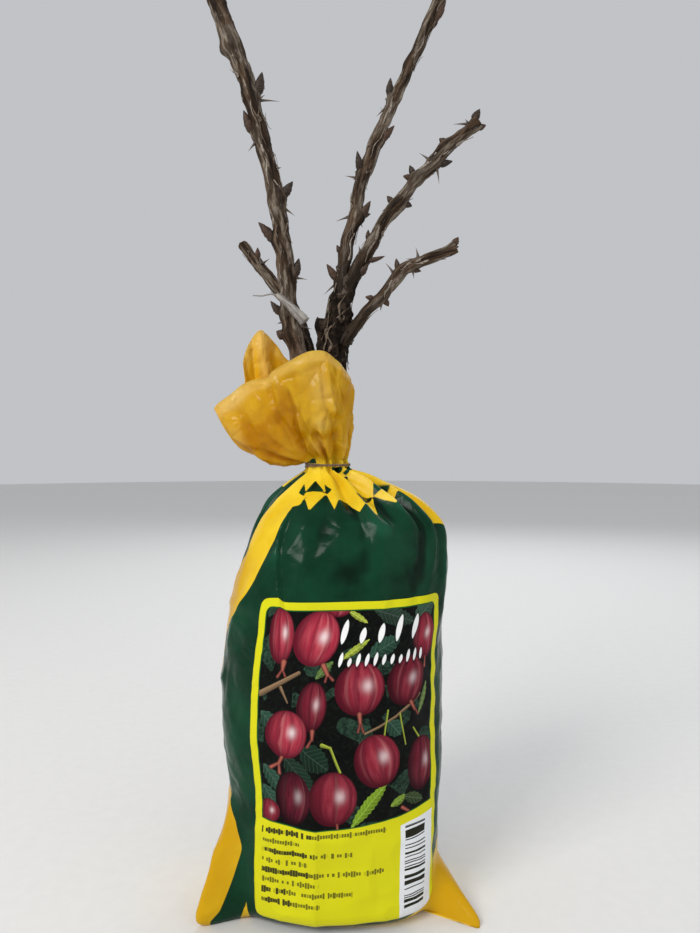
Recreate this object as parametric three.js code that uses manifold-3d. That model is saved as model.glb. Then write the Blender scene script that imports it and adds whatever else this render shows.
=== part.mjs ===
// A young gooseberry bush sold bare-root: five thorny, leafless canes on one rootstock, whose roots
// stand in damp peat inside a tied film bag with a label on its front.
// Millimetres, +Z up, the label faces -Y. The origin is at the bottom centre of the whole object.

import * as THREE from 'three';
import { mergeVertices } from 'three/addons/utils/BufferGeometryUtils.js';
import Module from 'manifold-3d';

const wasm = await Module();
wasm.setup();

// ---------------------------------------------------------------- driving dimensions
// Every place below is measured from the bag's own axis, on the surface that the bag stands on.

const BAG_AXIS = { x: 2.6, y: 0.4 }; // where that axis is, from the bottom centre of the whole object

const FILM = 0.9; // wall of the film, thick enough to be a solid
const GAP = 0.35; // clearance between pieces that touch
const BAG_SIDES = 48; // facets round the bag
const PLEATS = 12; // gathers round the tied neck

// The filled bag from its base to its neck: height z, centre cx, half width a, half depth b,
// squareness n of the section (2 is an ellipse) and depth of the gathers.
const BODY = [
  { z: 0, cx: -2, a: 38, b: 28, n: 3, pleat: 0 },
  { z: 2.5, cx: -2, a: 41, b: 32, n: 3, pleat: 0 },
  { z: 7, cx: -2, a: 42.5, b: 34, n: 3, pleat: 0 },
  { z: 50, cx: -2.2, a: 44.2, b: 36, n: 2.6, pleat: 0 },
  { z: 80, cx: -3.4, a: 46.6, b: 37.5, n: 2.4, pleat: 0 },
  { z: 128, cx: -0.6, a: 45, b: 37, n: 2.5, pleat: 0 },
  { z: 148, cx: 2.6, a: 42.6, b: 34, n: 2.5, pleat: 0.2 },
  { z: 157, cx: 3.6, a: 40.4, b: 30, n: 2.4, pleat: 0.4 },
  { z: 165, cx: 2.2, a: 34.3, b: 24, n: 2.2, pleat: 0.7 },
  { z: 172, cx: 0, a: 24.6, b: 17, n: 2, pleat: 0.9 },
  { z: 176.5, cx: -1.4, a: 17, b: 12.5, n: 2, pleat: 0.9 },
  { z: 179.6, cx: -4.8, a: 11, b: 10, n: 2, pleat: 0.9 },
  { z: 184, cx: -5.8, a: 9.8, b: 9.4, n: 2, pleat: 0.9 },
];
const BODY_ROWS = [0, 2.5, 7, 22, 36, 50, 65, 80, 96, 112, 128, 139, 148, 157, 165, 172, 176.5, 179.6, 184];

// Bottom corners of the bag that stick out as ears: where round the section, how high up the bag,
// how far sideways and forwards, and how narrow.
const EARS = [
  { angle: 204, height: 48, out: 16.5, forward: 13, narrow: 40 },
  { angle: 348, height: 17, out: 20, forward: 20, narrow: 45 },
];

// The ruffle above the tie, by angle round the neck from +X: its edge at the open mouth, and the
// belly that the film swells towards on its way up from the neck.
const RUFFLE = [
  { angle: 0, mouth: [5, -2, 212.5], belly: [5.6, -1, 200] },
  { angle: 18, mouth: [4.2, 4, 213], belly: [5.6, 4, 200] },
  { angle: 36, mouth: [2.5, 10, 216], belly: [3.6, 12, 201] },
  { angle: 52, mouth: [-1, 15, 219.5], belly: [-1, 17, 202] },
  { angle: 70, mouth: [-7, 18.5, 223], belly: [-7, 21, 203] },
  { angle: 88, mouth: [-15, 19, 225.5], belly: [-15, 21, 203] },
  { angle: 102, mouth: [-24, 18, 229], belly: [-23, 18, 202] },
  { angle: 112, mouth: [-28.8, 16.5, 235.5], belly: [-27, 16, 200] },
  { angle: 122, mouth: [-32.5, 14.5, 239], belly: [-31, 14, 197] },
  { angle: 131, mouth: [-36.2, 12.5, 241.2], belly: [-34, 12, 194] },
  { angle: 141, mouth: [-40.6, 11, 235], belly: [-35.5, 10.5, 191] },
  { angle: 151, mouth: [-43, 9, 226.5], belly: [-37, 8, 189] },
  { angle: 161, mouth: [-42.2, 6.2, 217], belly: [-37.5, 5, 184] },
  { angle: 173, mouth: [-47.5, 1.5, 208.6], belly: [-38.5, 1, 182] },
  { angle: 185, mouth: [-53, -2.6, 205.6], belly: [-38.6, -3.5, 180.5] },
  { angle: 196, mouth: [-51, -5, 208], belly: [-38.5, -8, 180.5] },
  { angle: 207, mouth: [-46.3, -7.8, 211], belly: [-35.5, -11.5, 182] },
  { angle: 217, mouth: [-41, -10.2, 215], belly: [-31.5, -14, 184.5] },
  { angle: 226, mouth: [-35.2, -12.8, 216.8], belly: [-27.5, -16, 190] },
  { angle: 236, mouth: [-30.6, -14, 217.2], belly: [-24, -18, 194] },
  { angle: 246, mouth: [-26.4, -17.4, 220], belly: [-21, -21.5, 196.5] },
  { angle: 257, mouth: [-21, -20, 223], belly: [-17, -25, 199] },
  { angle: 273, mouth: [-12, -22.5, 227], belly: [-11, -28, 201] },
  { angle: 290, mouth: [-5, -22.5, 227], belly: [-4, -28, 202] },
  { angle: 308, mouth: [1.4, -18, 222], belly: [2, -23, 202] },
  { angle: 326, mouth: [4.6, -12, 216.5], belly: [5.8, -15, 202] },
  { angle: 344, mouth: [5.4, -7, 213.5], belly: [6.4, -7, 201] },
];
const RUFFLE_ROWS = 8;

// Label on the front: its corner places on the bag's own facets, and its thickness.
const LABEL = { fromAngle: 232.5, toAngle: 330, fromRow: 2, toRow: 10, thickness: 0.5 };

const TIE = { radius: 0.6, firstWrap: 181.7, pitch: 1.15, cx: -5.6, a: 12.5, b: 12.1, knot: 1.9, end: 0.7 };

const PEAT = { top: 166, margin: 0.6, sides: 24 };

// Stems: each row is a point on the centre line and the radius there.
const STEM_SIDES = 8;
const TRUNK = [
  [-2, 0, 118, 5],
  [-2, 0, 138, 9],
  [-3, 0.5, 152, 7.2],
  [-3.6, 1.2, 168, 4.8],
  [-3.6, 1.6, 184, 4.4],
  [-3.5, 1, 205, 5.2],
  [-3, 0, 232, 6.4],
  [-0.8, 0, 245, 5.3],
  [0.6, 0, 254, 4.4],
];
const FORKS = {
  rightTall: [[0.4, 0.2, 248, 4], [0.7, 1, 257, 3.3], [0.9, 1.5, 263, 2.9]],
  rightMiddle: [[0.8, 0, 248, 3.8], [3.4, 0, 257, 3.2], [6.3, 0, 263.6, 2.8]],
  rightLow: [[-2, 0, 228, 4], [1.8, -1.6, 233.5, 3.4], [4.7, -3.4, 237.8, 2.9]],
  backLeft: [[-4, 0.5, 203, 3.6], [-9.5, 3.8, 216, 2.9], [-12.4, 5.3, 227, 2.5]],
  leftTall: [[-4, 0, 148, 4.5], [-8.5, -1.6, 160, 3.4], [-9.8, -3, 169, 2.8]],
  snag: [[-4.5, -1, 228, 4.5], [-6.6, -2, 238, 3], [-8, -2.6, 244, 1.1]],
};
const ROOTS = { count: 5, spread: 24, depth: 96, top: 134, radius: 3.6, tip: 1.2, turn: 31 };

const CANES = {
  cane_left_tall: {
    line: [
      [-9.8, -3, 169.5, 2.8],
      [-10.2, -3.2, 184, 2.7],
      [-13, -2.6, 205, 3.2],
      [-17.3, -2, 226, 3.7],
      [-21, -2.4, 243, 3.8],
      [-22.3, -3, 262, 3.6],
      [-25, -4, 281, 3.6],
      [-28.5, -6, 302, 3.4],
      [-34, -8, 323, 3.1],
      [-39.5, -10, 343, 3.3],
      [-46, -12, 359, 3.6],
      [-51, -13, 373, 3.7],
      [-59, -15, 396, 3.4],
    ],
    steps: 23,
    buds: [
      { at: 0.93, lean: 112, length: 7, width: 3.4 },
      { at: 0.804, lean: 116, length: 9.5, width: 4.2 },
      { at: 0.714, lean: 71, length: 10.3, width: 4.4 },
      { at: 0.654, lean: 121, length: 9.8, width: 4.2 },
      { at: 0.537, lean: 60, length: 7.9, width: 4 },
      { at: 0.462, lean: 124, length: 10.4, width: 4.4 },
      { at: 0.397, lean: 74, length: 8.1, width: 3.8 },
      { at: 0.331, lean: 138, length: 7.3, width: 3.4 },
    ],
    thorns: [
      { at: 0.705, lean: 0, length: 8.8 },
      { at: 0.639, lean: 232, length: 4.7 },
      { at: 0.519, lean: -39, length: 5.2 },
      { at: 0.395, lean: -4, length: 5.3 },
      { at: 0.306, lean: -10, length: 5.4 },
    ],
  },
  cane_right_tall: {
    line: [
      [1, 1.6, 263.5, 2.8],
      [3.5, 3, 279, 2.8],
      [6.5, 4, 289, 2.9],
      [8.2, 5.5, 300, 2.8],
      [13, 7, 315, 2.8],
      [21.5, 9, 336, 2.6],
      [31, 12, 358, 2.6],
      [40.3, 14, 380, 2.5],
      [45, 15, 391, 2.7],
      [50, 16.5, 403, 2.8],
    ],
    steps: 18,
    buds: [
      { at: 0.815, lean: 54, length: 11.5, width: 3.2 },
      { at: 0.549, lean: 96, length: 7.8, width: 3.4 },
      { at: 0.416, lean: 54, length: 9.3, width: 3.4 },
      { at: 0.306, lean: 89, length: 8.4, width: 3.2 },
      { at: 0.172, lean: 58, length: 8.5, width: 3.6 },
    ],
    thorns: [
      { at: 0.522, lean: 228, length: 5.6 },
      { at: 0.287, lean: 164, length: 5.3 },
      { at: 0.17, lean: 200, length: 6 },
    ],
  },
  cane_right_middle: {
    line: [
      [6.6, 0, 264.1, 2.7],
      [10.5, 0, 271, 2.7],
      [20, -1, 286.5, 2.5],
      [32, -3, 301, 2.5],
      [46, -6, 315, 2.5],
      [57.5, -8, 323.5, 2.2],
    ],
    steps: 13,
    buds: [
      { at: 0.986, lean: 72, length: 5.3, width: 3.4 },
      { at: 0.705, lean: 12, length: 6.2, width: 3 },
      { at: 0.591, lean: 123, length: 4.5, width: 2.8 },
      { at: 0.403, lean: 121, length: 4, width: 2.8 },
      { at: 0.175, lean: 95, length: 4.5, width: 2.2 },
    ],
    thorns: [
      { at: 0.953, lean: 187, length: 6.3 },
      { at: 0.688, lean: 141, length: 5.1 },
      { at: 0.686, lean: -83, length: 6.9 },
    ],
  },
  cane_right_low: {
    line: [
      [5, -3.6, 238.2, 2.8],
      [9.5, -6, 244, 2.5],
      [18, -9, 252.3, 2.3],
      [26, -12, 261.8, 2.2],
      [33, -14, 264.8, 2.1],
      [47, -18, 269, 2.1],
    ],
    steps: 12,
    buds: [
      { at: 0.558, lean: 90, length: 5, width: 2.4 },
      { at: 0.65, lean: -7, length: 4.2, width: 2.4 },
      { at: 0.982, lean: 68, length: 3.6, width: 3 },
    ],
    thorns: [
      { at: 0.523, lean: 119, length: 5.8 },
      { at: 0.717, lean: 96, length: 4.7 },
      { at: 0.66, lean: -75, length: 4 },
    ],
  },
  cane_back_left: {
    line: [
      [-12.5, 5.5, 227.6, 2.4],
      [-15.5, 7.5, 238.5, 2.4],
      [-22.5, 10.5, 252.5, 2.4],
      [-33.5, 15, 267, 2.4],
      [-45, 20, 281.5, 2.3],
    ],
    steps: 10,
    buds: [{ at: 0.826, lean: 96, length: 5.1, width: 2.6 }],
    thorns: [{ at: 0.777, lean: 40, length: 4.1 }],
  },
};

const DRY_SPUR = [
  [-28.5, -8.2, 251.6, 0.9],
  [-24.5, -8, 250.8, 1.5],
  [-19.5, -8.2, 246.8, 1.8],
  [-14.6, -8.4, 242.4, 2],
];
const DRY_SPUR_STEPS = 6;

const COLOURS = {
  film: { color: 0x1c4a35, roughness: 0.3, metalness: 0 },
  label: { color: 0xdedb23, roughness: 0.35, metalness: 0 },
  tie: { color: 0x6b5238, roughness: 0.9, metalness: 0 },
  peat: { color: 0x2b1d14, roughness: 1, metalness: 0 },
  crown: { color: 0x3a2c24, roughness: 0.95, metalness: 0 },
  bark: { color: 0x6e6056, roughness: 0.9, metalness: 0 },
  dryWood: { color: 0xa8a198, roughness: 0.9, metalness: 0 },
};

// ---------------------------------------------------------------- small helpers

const radians = THREE.MathUtils.degToRad;
const lerp = THREE.MathUtils.lerp;

// Smooth curve through the rows of a table, read at height z.
function station(table, key, z) {
  const i = THREE.MathUtils.clamp(table.findLastIndex((row) => row.z <= z), 0, table.length - 2);
  const [from, to] = [table[i], table[i + 1]];
  const slope = (lower, upper) => (upper[key] - lower[key]) / (upper.z - lower.z);
  const middle = slope(from, to);
  const tangent = (other) => (middle * other <= 0 ? 0 : (2 * middle * other) / (middle + other));
  const start = i > 0 ? tangent(slope(table[i - 1], from)) : middle;
  const end = i < table.length - 2 ? tangent(slope(to, table[i + 2])) : middle;
  const span = to.z - from.z;
  const t = (z - from.z) / span;
  const [t2, t3] = [t * t, t * t * t];
  return (
    (2 * t3 - 3 * t2 + 1) * from[key] +
    (t3 - 2 * t2 + t) * span * start +
    (3 * t2 - 2 * t3) * to[key] +
    (t3 - t2) * span * end
  );
}

function geometryFrom(points, triangles) {
  const geometry = new THREE.BufferGeometry();
  geometry.setAttribute('position', new THREE.Float32BufferAttribute(points.flatMap((p) => [p.x, p.y, p.z]), 3));
  geometry.setIndex(triangles.flat());
  geometry.computeVertexNormals();
  return geometry;
}

// Two triangles for each cell between closed rings of points; ring r holds its points in a row.
function ringWall(rings, sides, firstRing = 0) {
  const triangles = [];
  for (let r = firstRing; r < firstRing + rings - 1; r += 1) {
    for (let s = 0; s < sides; s += 1) {
      const [a, b] = [r * sides + s, r * sides + ((s + 1) % sides)];
      triangles.push([a, b, b + sides], [a, b + sides, a + sides]);
    }
  }
  return triangles;
}

const flipped = (triangles) => triangles.map(([a, b, c]) => [a, c, b]);

// Fan over one ring of points to a point in its middle.
function fan(firstPoint, sides, centre) {
  return Array.from({ length: sides }, (_, s) => [firstPoint + s, firstPoint + ((s + 1) % sides), centre]);
}

function middleOf(points) {
  return points.reduce((sum, p) => sum.add(p), new THREE.Vector3()).divideScalar(points.length);
}

function toSolid(geometry) {
  const bare = geometry.clone();
  bare.deleteAttribute('normal');
  bare.deleteAttribute('uv');
  const merged = mergeVertices(bare, 1e-4);
  return new wasm.Manifold(
    new wasm.Mesh({
      numProp: 3,
      vertProperties: new Float32Array(merged.attributes.position.array),
      triVerts: new Uint32Array(merged.index.array),
    }),
  );
}

function toGeometry(solid) {
  const { vertProperties, triVerts } = solid.getMesh();
  const geometry = new THREE.BufferGeometry();
  geometry.setAttribute('position', new THREE.BufferAttribute(vertProperties, 3));
  geometry.setIndex(new THREE.BufferAttribute(triVerts, 1));
  geometry.computeVertexNormals();
  return geometry;
}

const union = (solids) => solids.reduce((sum, solid) => sum.add(solid));

// ---------------------------------------------------------------- the film bag

// Point of the bag's outer surface at an angle (degrees from +X) and a height up to the neck.
function bodyPoint(angle, z, ears = EARS) {
  const at = (key) => station(BODY, key, z);
  const [c, s] = [Math.cos(radians(angle)), Math.sin(radians(angle))];
  const power = 2 / at('n');
  const pleat = 1 + (at('pleat') / at('a')) * Math.cos(radians(angle) * PLEATS);
  const point = new THREE.Vector3(
    at('cx') + at('a') * pleat * Math.sign(c) * Math.abs(c) ** power,
    at('b') * pleat * Math.sign(s) * Math.abs(s) ** power,
    z,
  );
  for (const ear of ears) {
    const facing = Math.max(0, Math.cos(radians(angle - ear.angle))) ** ear.narrow;
    const reach = Math.max(0, 1 - z / ear.height) * facing;
    point.x += ear.out * reach * Math.sign(Math.cos(radians(ear.angle)));
    point.y -= ear.forward * reach;
  }
  return point;
}

const closedCurve = (points) => new THREE.CatmullRomCurve3(points.map((p) => new THREE.Vector3(...p)), true);
const MOUTH_CURVE = closedCurve(RUFFLE.map(({ mouth }) => mouth));
const BELLY_CURVE = closedCurve(RUFFLE.map(({ belly }) => belly));

// Share of the way round the ruffle's table that an angle stands for.
function ruffleShare(angle) {
  const i = RUFFLE.findLastIndex((row) => row.angle <= angle);
  const next = i + 1 < RUFFLE.length ? RUFFLE[i + 1].angle : 360;
  return (i + (angle - RUFFLE[i].angle) / (next - RUFFLE[i].angle)) / RUFFLE.length;
}

// Point of the ruffle: a curve from the neck by way of the belly to the mouth.
function rufflePoint(angle, along) {
  const neck = bodyPoint(angle, BODY.at(-1).z);
  const belly = BELLY_CURVE.getPoint(ruffleShare(angle));
  const mouth = MOUTH_CURVE.getPoint(ruffleShare(angle));
  return new THREE.QuadraticBezierCurve3(neck, belly, mouth).getPoint(along);
}

const anglesOf = (sides) => Array.from({ length: sides }, (_, s) => (s * 360) / sides);

const bodyRings = (sides, ears) => BODY_ROWS.map((z) => anglesOf(sides).map((angle) => bodyPoint(angle, z, ears)));

function ruffleRings() {
  return Array.from({ length: RUFFLE_ROWS }, (_, r) =>
    anglesOf(BAG_SIDES).map((angle) => rufflePoint(angle, (r + 1) / RUFFLE_ROWS)),
  );
}

// A wall of rings moved along its own normals; a minus distance goes inwards.
function offsetRings(rings, distance) {
  const sides = rings[0].length;
  const { normal } = geometryFrom(rings.flat(), ringWall(rings.length, sides)).attributes;
  const normalAt = (i) => new THREE.Vector3().fromBufferAttribute(normal, i);
  return rings.map((ring, r) =>
    ring.map((point, s) => point.clone().addScaledVector(normalAt(r * sides + s), distance)),
  );
}

const BAG_RINGS = [...bodyRings(BAG_SIDES), ...ruffleRings()];

function bagGeometry() {
  const outer = BAG_RINGS;
  const inner = offsetRings(BAG_RINGS, -FILM);
  inner[0].forEach((point) => (point.z = FILM));
  const points = [...outer.flat(), ...inner.flat()];
  const count = outer.length * BAG_SIDES;
  const outerFloor = points.push(new THREE.Vector3(BODY[0].cx, 0, 0)) - 1;
  const innerFloor = points.push(new THREE.Vector3(BODY[0].cx, 0, FILM)) - 1;
  const lastRing = count - BAG_SIDES;
  const mouth = [];
  for (let s = 0; s < BAG_SIDES; s += 1) {
    const [a, b] = [lastRing + s, lastRing + ((s + 1) % BAG_SIDES)];
    mouth.push([a, b, b + count], [a, b + count, a + count]);
  }
  return geometryFrom(points, [
    ...ringWall(outer.length, BAG_SIDES),
    ...flipped(ringWall(inner.length, BAG_SIDES, outer.length)),
    ...mouth,
    ...flipped(fan(0, BAG_SIDES, outerFloor)),
    ...fan(count, BAG_SIDES, innerFloor),
  ]);
}

// ---------------------------------------------------------------- label and tie

// A sheet that lies on the bag's facets: the same grid of points at two distances from the film.
function labelGeometry() {
  const step = 360 / BAG_SIDES;
  const [first, last] = [LABEL.fromAngle / step, LABEL.toAngle / step];
  const columns = last - first + 1;
  const rows = LABEL.toRow - LABEL.fromRow + 1;
  const sheet = (distance) =>
    offsetRings(BAG_RINGS, distance)
      .slice(LABEL.fromRow, LABEL.toRow + 1)
      .map((ring) => ring.slice(first, last + 1));
  const back = sheet(GAP).flat();
  const front = sheet(GAP + LABEL.thickness).flat();
  const faces = [];
  for (let r = 0; r < rows - 1; r += 1) {
    for (let c = 0; c < columns - 1; c += 1) {
      const a = r * columns + c;
      faces.push([a, a + 1, a + 1 + columns], [a, a + 1 + columns, a + columns]);
    }
  }
  const border = [
    ...Array.from({ length: columns - 1 }, (_, c) => c),
    ...Array.from({ length: rows - 1 }, (_, r) => r * columns + columns - 1),
    ...Array.from({ length: columns - 1 }, (_, c) => rows * columns - 1 - c),
    ...Array.from({ length: rows - 1 }, (_, r) => (rows - 1 - r) * columns),
  ];
  const count = rows * columns;
  const edge = border.flatMap((a, i) => {
    const b = border[(i + 1) % border.length];
    return [[a, b, b + count], [a, b + count, a + count]];
  });
  return geometryFrom(
    [...back, ...front],
    [...flipped(faces), ...faces.map((face) => face.map((i) => i + count)), ...edge],
  );
}

function tieGeometry() {
  const wrap = (z) => {
    const ring = new THREE.TorusGeometry(1, TIE.radius / TIE.a, 6, 24);
    ring.scale(TIE.a, TIE.b, TIE.a);
    return ring.translate(TIE.cx, 0, z);
  };
  const back = TIE.b + TIE.radius;
  const knot = new THREE.SphereGeometry(TIE.knot, 8, 6).translate(TIE.cx, back, TIE.firstWrap + TIE.pitch / 2);
  const end = (side) =>
    stemGeometry(
      [
        [TIE.cx, back, TIE.firstWrap, TIE.end],
        [TIE.cx + side * 5, back + 3.5, TIE.firstWrap - 1.5, TIE.end],
        [TIE.cx + side * 9, back + 8.5, TIE.firstWrap - 4, TIE.end],
      ],
      4,
      6,
    );
  const pieces = [wrap(TIE.firstWrap), wrap(TIE.firstWrap + TIE.pitch), knot, end(-1), end(1)];
  return toGeometry(union(pieces.map(toSolid)));
}

// ---------------------------------------------------------------- stems, buds and thorns

// Closed round stem through rows of [x, y, z, radius], evenly stepped along its centre line.
function stemGeometry(rows, steps, sides = STEM_SIDES, grow = 0) {
  const curve = new THREE.CatmullRomCurve3(rows.map(([x, y, z]) => new THREE.Vector3(x, y, z)), false, 'centripetal');
  const frames = curve.computeFrenetFrames(steps, false);
  const rings = [];
  for (let i = 0; i <= steps; i += 1) {
    const place = curve.getPointAt(i / steps);
    const radius = stemRadius(rows, i / steps) + grow;
    for (let s = 0; s < sides; s += 1) {
      const turn = (s / sides) * Math.PI * 2;
      const spoke = frames.normals[i].clone().multiplyScalar(Math.cos(turn));
      spoke.addScaledVector(frames.binormals[i], Math.sin(turn));
      rings.push(place.clone().addScaledVector(spoke, radius));
    }
  }
  const first = rings.push(curve.getPointAt(0).addScaledVector(frames.tangents[0], -grow)) - 1;
  const last = rings.push(curve.getPointAt(1).addScaledVector(frames.tangents[steps], grow)) - 1;
  return geometryFrom(rings, [
    ...ringWall(steps + 1, sides),
    ...flipped(fan(0, sides, first)),
    ...fan(steps * sides, sides, last),
  ]);
}

function stemRadius(rows, along) {
  const place = along * (rows.length - 1);
  const i = Math.min(Math.floor(place), rows.length - 2);
  return lerp(rows[i][3], rows[i + 1][3], place - i);
}

// Puts a shape that points along +Y on a stem, so that it points `lean` degrees as seen from the front
// (0 is +X, 90 is +Z) and is rooted a little inside the bark.
function onStem(shape, curve, rows, at, lean, sink) {
  const way = new THREE.Vector3(Math.cos(radians(lean)), 0, Math.sin(radians(lean)));
  const tangent = curve.getTangentAt(at);
  const spoke = way.clone().addScaledVector(tangent, -way.dot(tangent)).normalize();
  const root = curve.getPointAt(at).addScaledVector(spoke, stemRadius(rows, at) - sink);
  shape.applyQuaternion(new THREE.Quaternion().setFromUnitVectors(new THREE.Vector3(0, 1, 0), way));
  return shape.translate(root.x, root.y, root.z);
}

function budGeometry({ length, width }) {
  const outline = [[0, 0], [0.32, 0.05], [0.5, 0.35], [0.36, 0.7], [0, 1]];
  return new THREE.LatheGeometry(outline.map(([x, y]) => new THREE.Vector2(x * width, y * length)), 6);
}

function thornGeometry({ length }) {
  return new THREE.ConeGeometry(0.7, length, 4).translate(0, length / 2, 0);
}

// A cane with its buds and thorns, cut clear of the rootstock that it grows from.
function caneGeometry({ line, steps, buds, thorns }) {
  const curve = new THREE.CatmullRomCurve3(line.map(([x, y, z]) => new THREE.Vector3(x, y, z)), false, 'centripetal');
  const pieces = [
    stemGeometry(line, steps),
    ...buds.map((bud) => onStem(budGeometry(bud), curve, line, bud.at, bud.lean, 1)),
    ...thorns.map((thorn) => onStem(thornGeometry(thorn), curve, line, thorn.at, thorn.lean, 1)),
  ];
  return toGeometry(union(pieces.map(toSolid)).subtract(rootstockSolid(GAP)));
}

// ---------------------------------------------------------------- rootstock and peat

function rootLines() {
  return Array.from({ length: ROOTS.count }, (_, i) => {
    const angle = radians(ROOTS.turn + (i * 360) / ROOTS.count);
    const [x, y] = [Math.cos(angle), Math.sin(angle)];
    const reach = ROOTS.spread * (i % 2 ? 1 : 0.8);
    return [
      [-2, 0, ROOTS.top, ROOTS.radius],
      [-2 + x * reach * 0.6, y * reach * 0.6, ROOTS.top - ROOTS.depth * 0.2, ROOTS.radius * 0.8],
      [-2 + x * reach, y * reach, ROOTS.top - ROOTS.depth * 0.55, ROOTS.radius * 0.6],
      [-2 + x * reach * 0.8, y * reach * 0.8, ROOTS.top - ROOTS.depth, ROOTS.tip],
    ];
  });
}

function rootstockSolid(grow = 0) {
  return union([
    toSolid(stemGeometry(TRUNK, 14, 10, grow)),
    ...Object.values(FORKS).map((rows) => toSolid(stemGeometry(rows, 4, STEM_SIDES, grow))),
    ...rootLines().map((rows) => toSolid(stemGeometry(rows, 6, 6, grow))),
  ]);
}

function peatGeometry() {
  const rows = BODY_ROWS.filter((z) => z < PEAT.top).length;
  const rings = offsetRings(bodyRings(PEAT.sides, []), -(FILM + PEAT.margin)).slice(0, rows);
  rings[0].forEach((point) => (point.z = FILM + GAP));
  const points = rings.flat();
  const floor = points.push(middleOf(rings[0])) - 1;
  const top = points.push(middleOf(rings.at(-1))) - 1;
  const lump = geometryFrom(points, [
    ...ringWall(rows, PEAT.sides),
    ...flipped(fan(0, PEAT.sides, floor)),
    ...fan((rows - 1) * PEAT.sides, PEAT.sides, top),
  ]);
  return toGeometry(toSolid(lump).subtract(rootstockSolid(GAP)));
}

// ---------------------------------------------------------------- assembly

function node(name, geometry, colour) {
  const mesh = new THREE.Mesh(geometry, new THREE.MeshStandardMaterial(colour));
  mesh.name = name;
  return mesh;
}

const bush = new THREE.Group();
bush.add(
  node('bag_film', bagGeometry(), COLOURS.film),
  node('front_label', labelGeometry(), COLOURS.label),
  node('neck_tie', tieGeometry(), COLOURS.tie),
  node('peat_fill', peatGeometry(), COLOURS.peat),
  node('rootstock', toGeometry(rootstockSolid()), COLOURS.crown),
  ...Object.entries(CANES).map(([name, cane]) => node(name, caneGeometry(cane), COLOURS.bark)),
  node('dry_spur', stemGeometry(DRY_SPUR, DRY_SPUR_STEPS), COLOURS.dryWood),
);

bush.position.set(BAG_AXIS.x, BAG_AXIS.y, 0);

const group = new THREE.Group();
group.add(bush);

export default group;
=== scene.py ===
"""Looks of a bagged bare-root gooseberry bush, built round its CAD frame.

Sizes are millimetres, measured from the bag's own axis on the surface that the bag stands on, and
the label faces -Y. make_piece() moves each mesh into the CAD frame, in metres.
"""

import math

import bpy
import numpy as np
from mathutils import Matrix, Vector


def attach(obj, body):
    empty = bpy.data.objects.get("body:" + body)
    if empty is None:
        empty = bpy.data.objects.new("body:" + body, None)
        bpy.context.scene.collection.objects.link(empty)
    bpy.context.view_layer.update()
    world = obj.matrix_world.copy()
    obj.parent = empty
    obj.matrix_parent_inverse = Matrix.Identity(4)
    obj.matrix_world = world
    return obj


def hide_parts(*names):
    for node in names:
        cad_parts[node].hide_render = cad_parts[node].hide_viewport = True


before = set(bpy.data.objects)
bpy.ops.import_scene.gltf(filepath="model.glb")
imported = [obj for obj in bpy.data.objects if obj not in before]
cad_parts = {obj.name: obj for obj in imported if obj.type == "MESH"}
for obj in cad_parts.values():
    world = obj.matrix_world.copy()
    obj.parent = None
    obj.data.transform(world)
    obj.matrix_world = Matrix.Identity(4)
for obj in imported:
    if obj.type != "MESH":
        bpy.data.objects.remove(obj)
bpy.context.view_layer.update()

MM = 0.001
BAG_AXIS = np.array([2.6, 0.4, 0.0])  # the bag's axis from the middle of the whole object

# ------------------------------------------------------------------ camera, light and floor

EYE = (6.9, -301.6, 188.0)
EYE_PITCH = -1.35  # degrees, below level
LENS = 27.1
SKY = (0.86, 0.88, 0.92, 1)
SKY_STRENGTH = 0.62
FLOOR_RADIUS = 4  # metres
# Area lights, in metres and watts: name, place, size, power, colour. All point at AIM.
AIM = (0, 0, 0.2)
LIGHTS = [
    ("key", (-0.75, -0.85, 0.95), 0.55, 11, (1.0, 0.98, 0.95)),
    ("fill", (0.9, -0.7, 0.5), 1.2, 2.0, (0.93, 0.96, 1.0)),
    ("rim", (0.2, 0.9, 0.9), 1.0, 5, (0.95, 0.97, 1.0)),
]


def set_tones():
    """Plain tone curve, so that the saturated print keeps its colour."""
    bpy.context.scene.view_settings.view_transform = "Standard"
    bpy.context.scene.view_settings.look = "None"


def add_camera():
    data = bpy.data.cameras.new("camera")
    data.lens = LENS
    camera = bpy.data.objects.new("camera", data)
    camera.location = Vector(EYE) * MM
    camera.rotation_euler = (math.radians(90 + EYE_PITCH), 0, 0)
    bpy.context.scene.collection.objects.link(camera)
    bpy.context.scene.camera = camera


def add_area_light(name, place, size, power, colour):
    data = bpy.data.lights.new(name, "AREA")
    data.size = size
    data.energy = power
    data.color = colour
    light = bpy.data.objects.new(name, data)
    light.location = place
    light.rotation_euler = (Vector(AIM) - Vector(place)).to_track_quat("-Z", "Y").to_euler()
    bpy.context.scene.collection.objects.link(light)


def add_world():
    world = bpy.data.worlds.new("studio")
    world.use_nodes = True
    background = world.node_tree.nodes["Background"]
    background.inputs["Color"].default_value = SKY
    background.inputs["Strength"].default_value = SKY_STRENGTH
    bpy.context.scene.world = world


def add_floor():
    bpy.ops.mesh.primitive_circle_add(vertices=96, radius=FLOOR_RADIUS, fill_type="NGON")
    floor = bpy.context.object
    floor.name = "floor"
    material, tree, shader = new_material("pale_floor", roughness=0.75)
    grain = noise(tree, coordinates(tree), 6, detail=4)
    colour = blend(tree, grain, (0.72, 0.71, 0.69), (0.78, 0.77, 0.75))
    tree.links.new(colour, shader.inputs["Base Color"])
    floor.data.materials.append(material)


# ------------------------------------------------------------------ shader helpers


def put(tree, value, socket):
    """Links a field or an output to a socket, or sets the socket to a plain value."""
    if isinstance(value, Field):
        tree.links.new(value.socket, socket)
    elif isinstance(value, bpy.types.NodeSocket):
        tree.links.new(value, socket)
    else:
        socket.default_value = value


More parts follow.
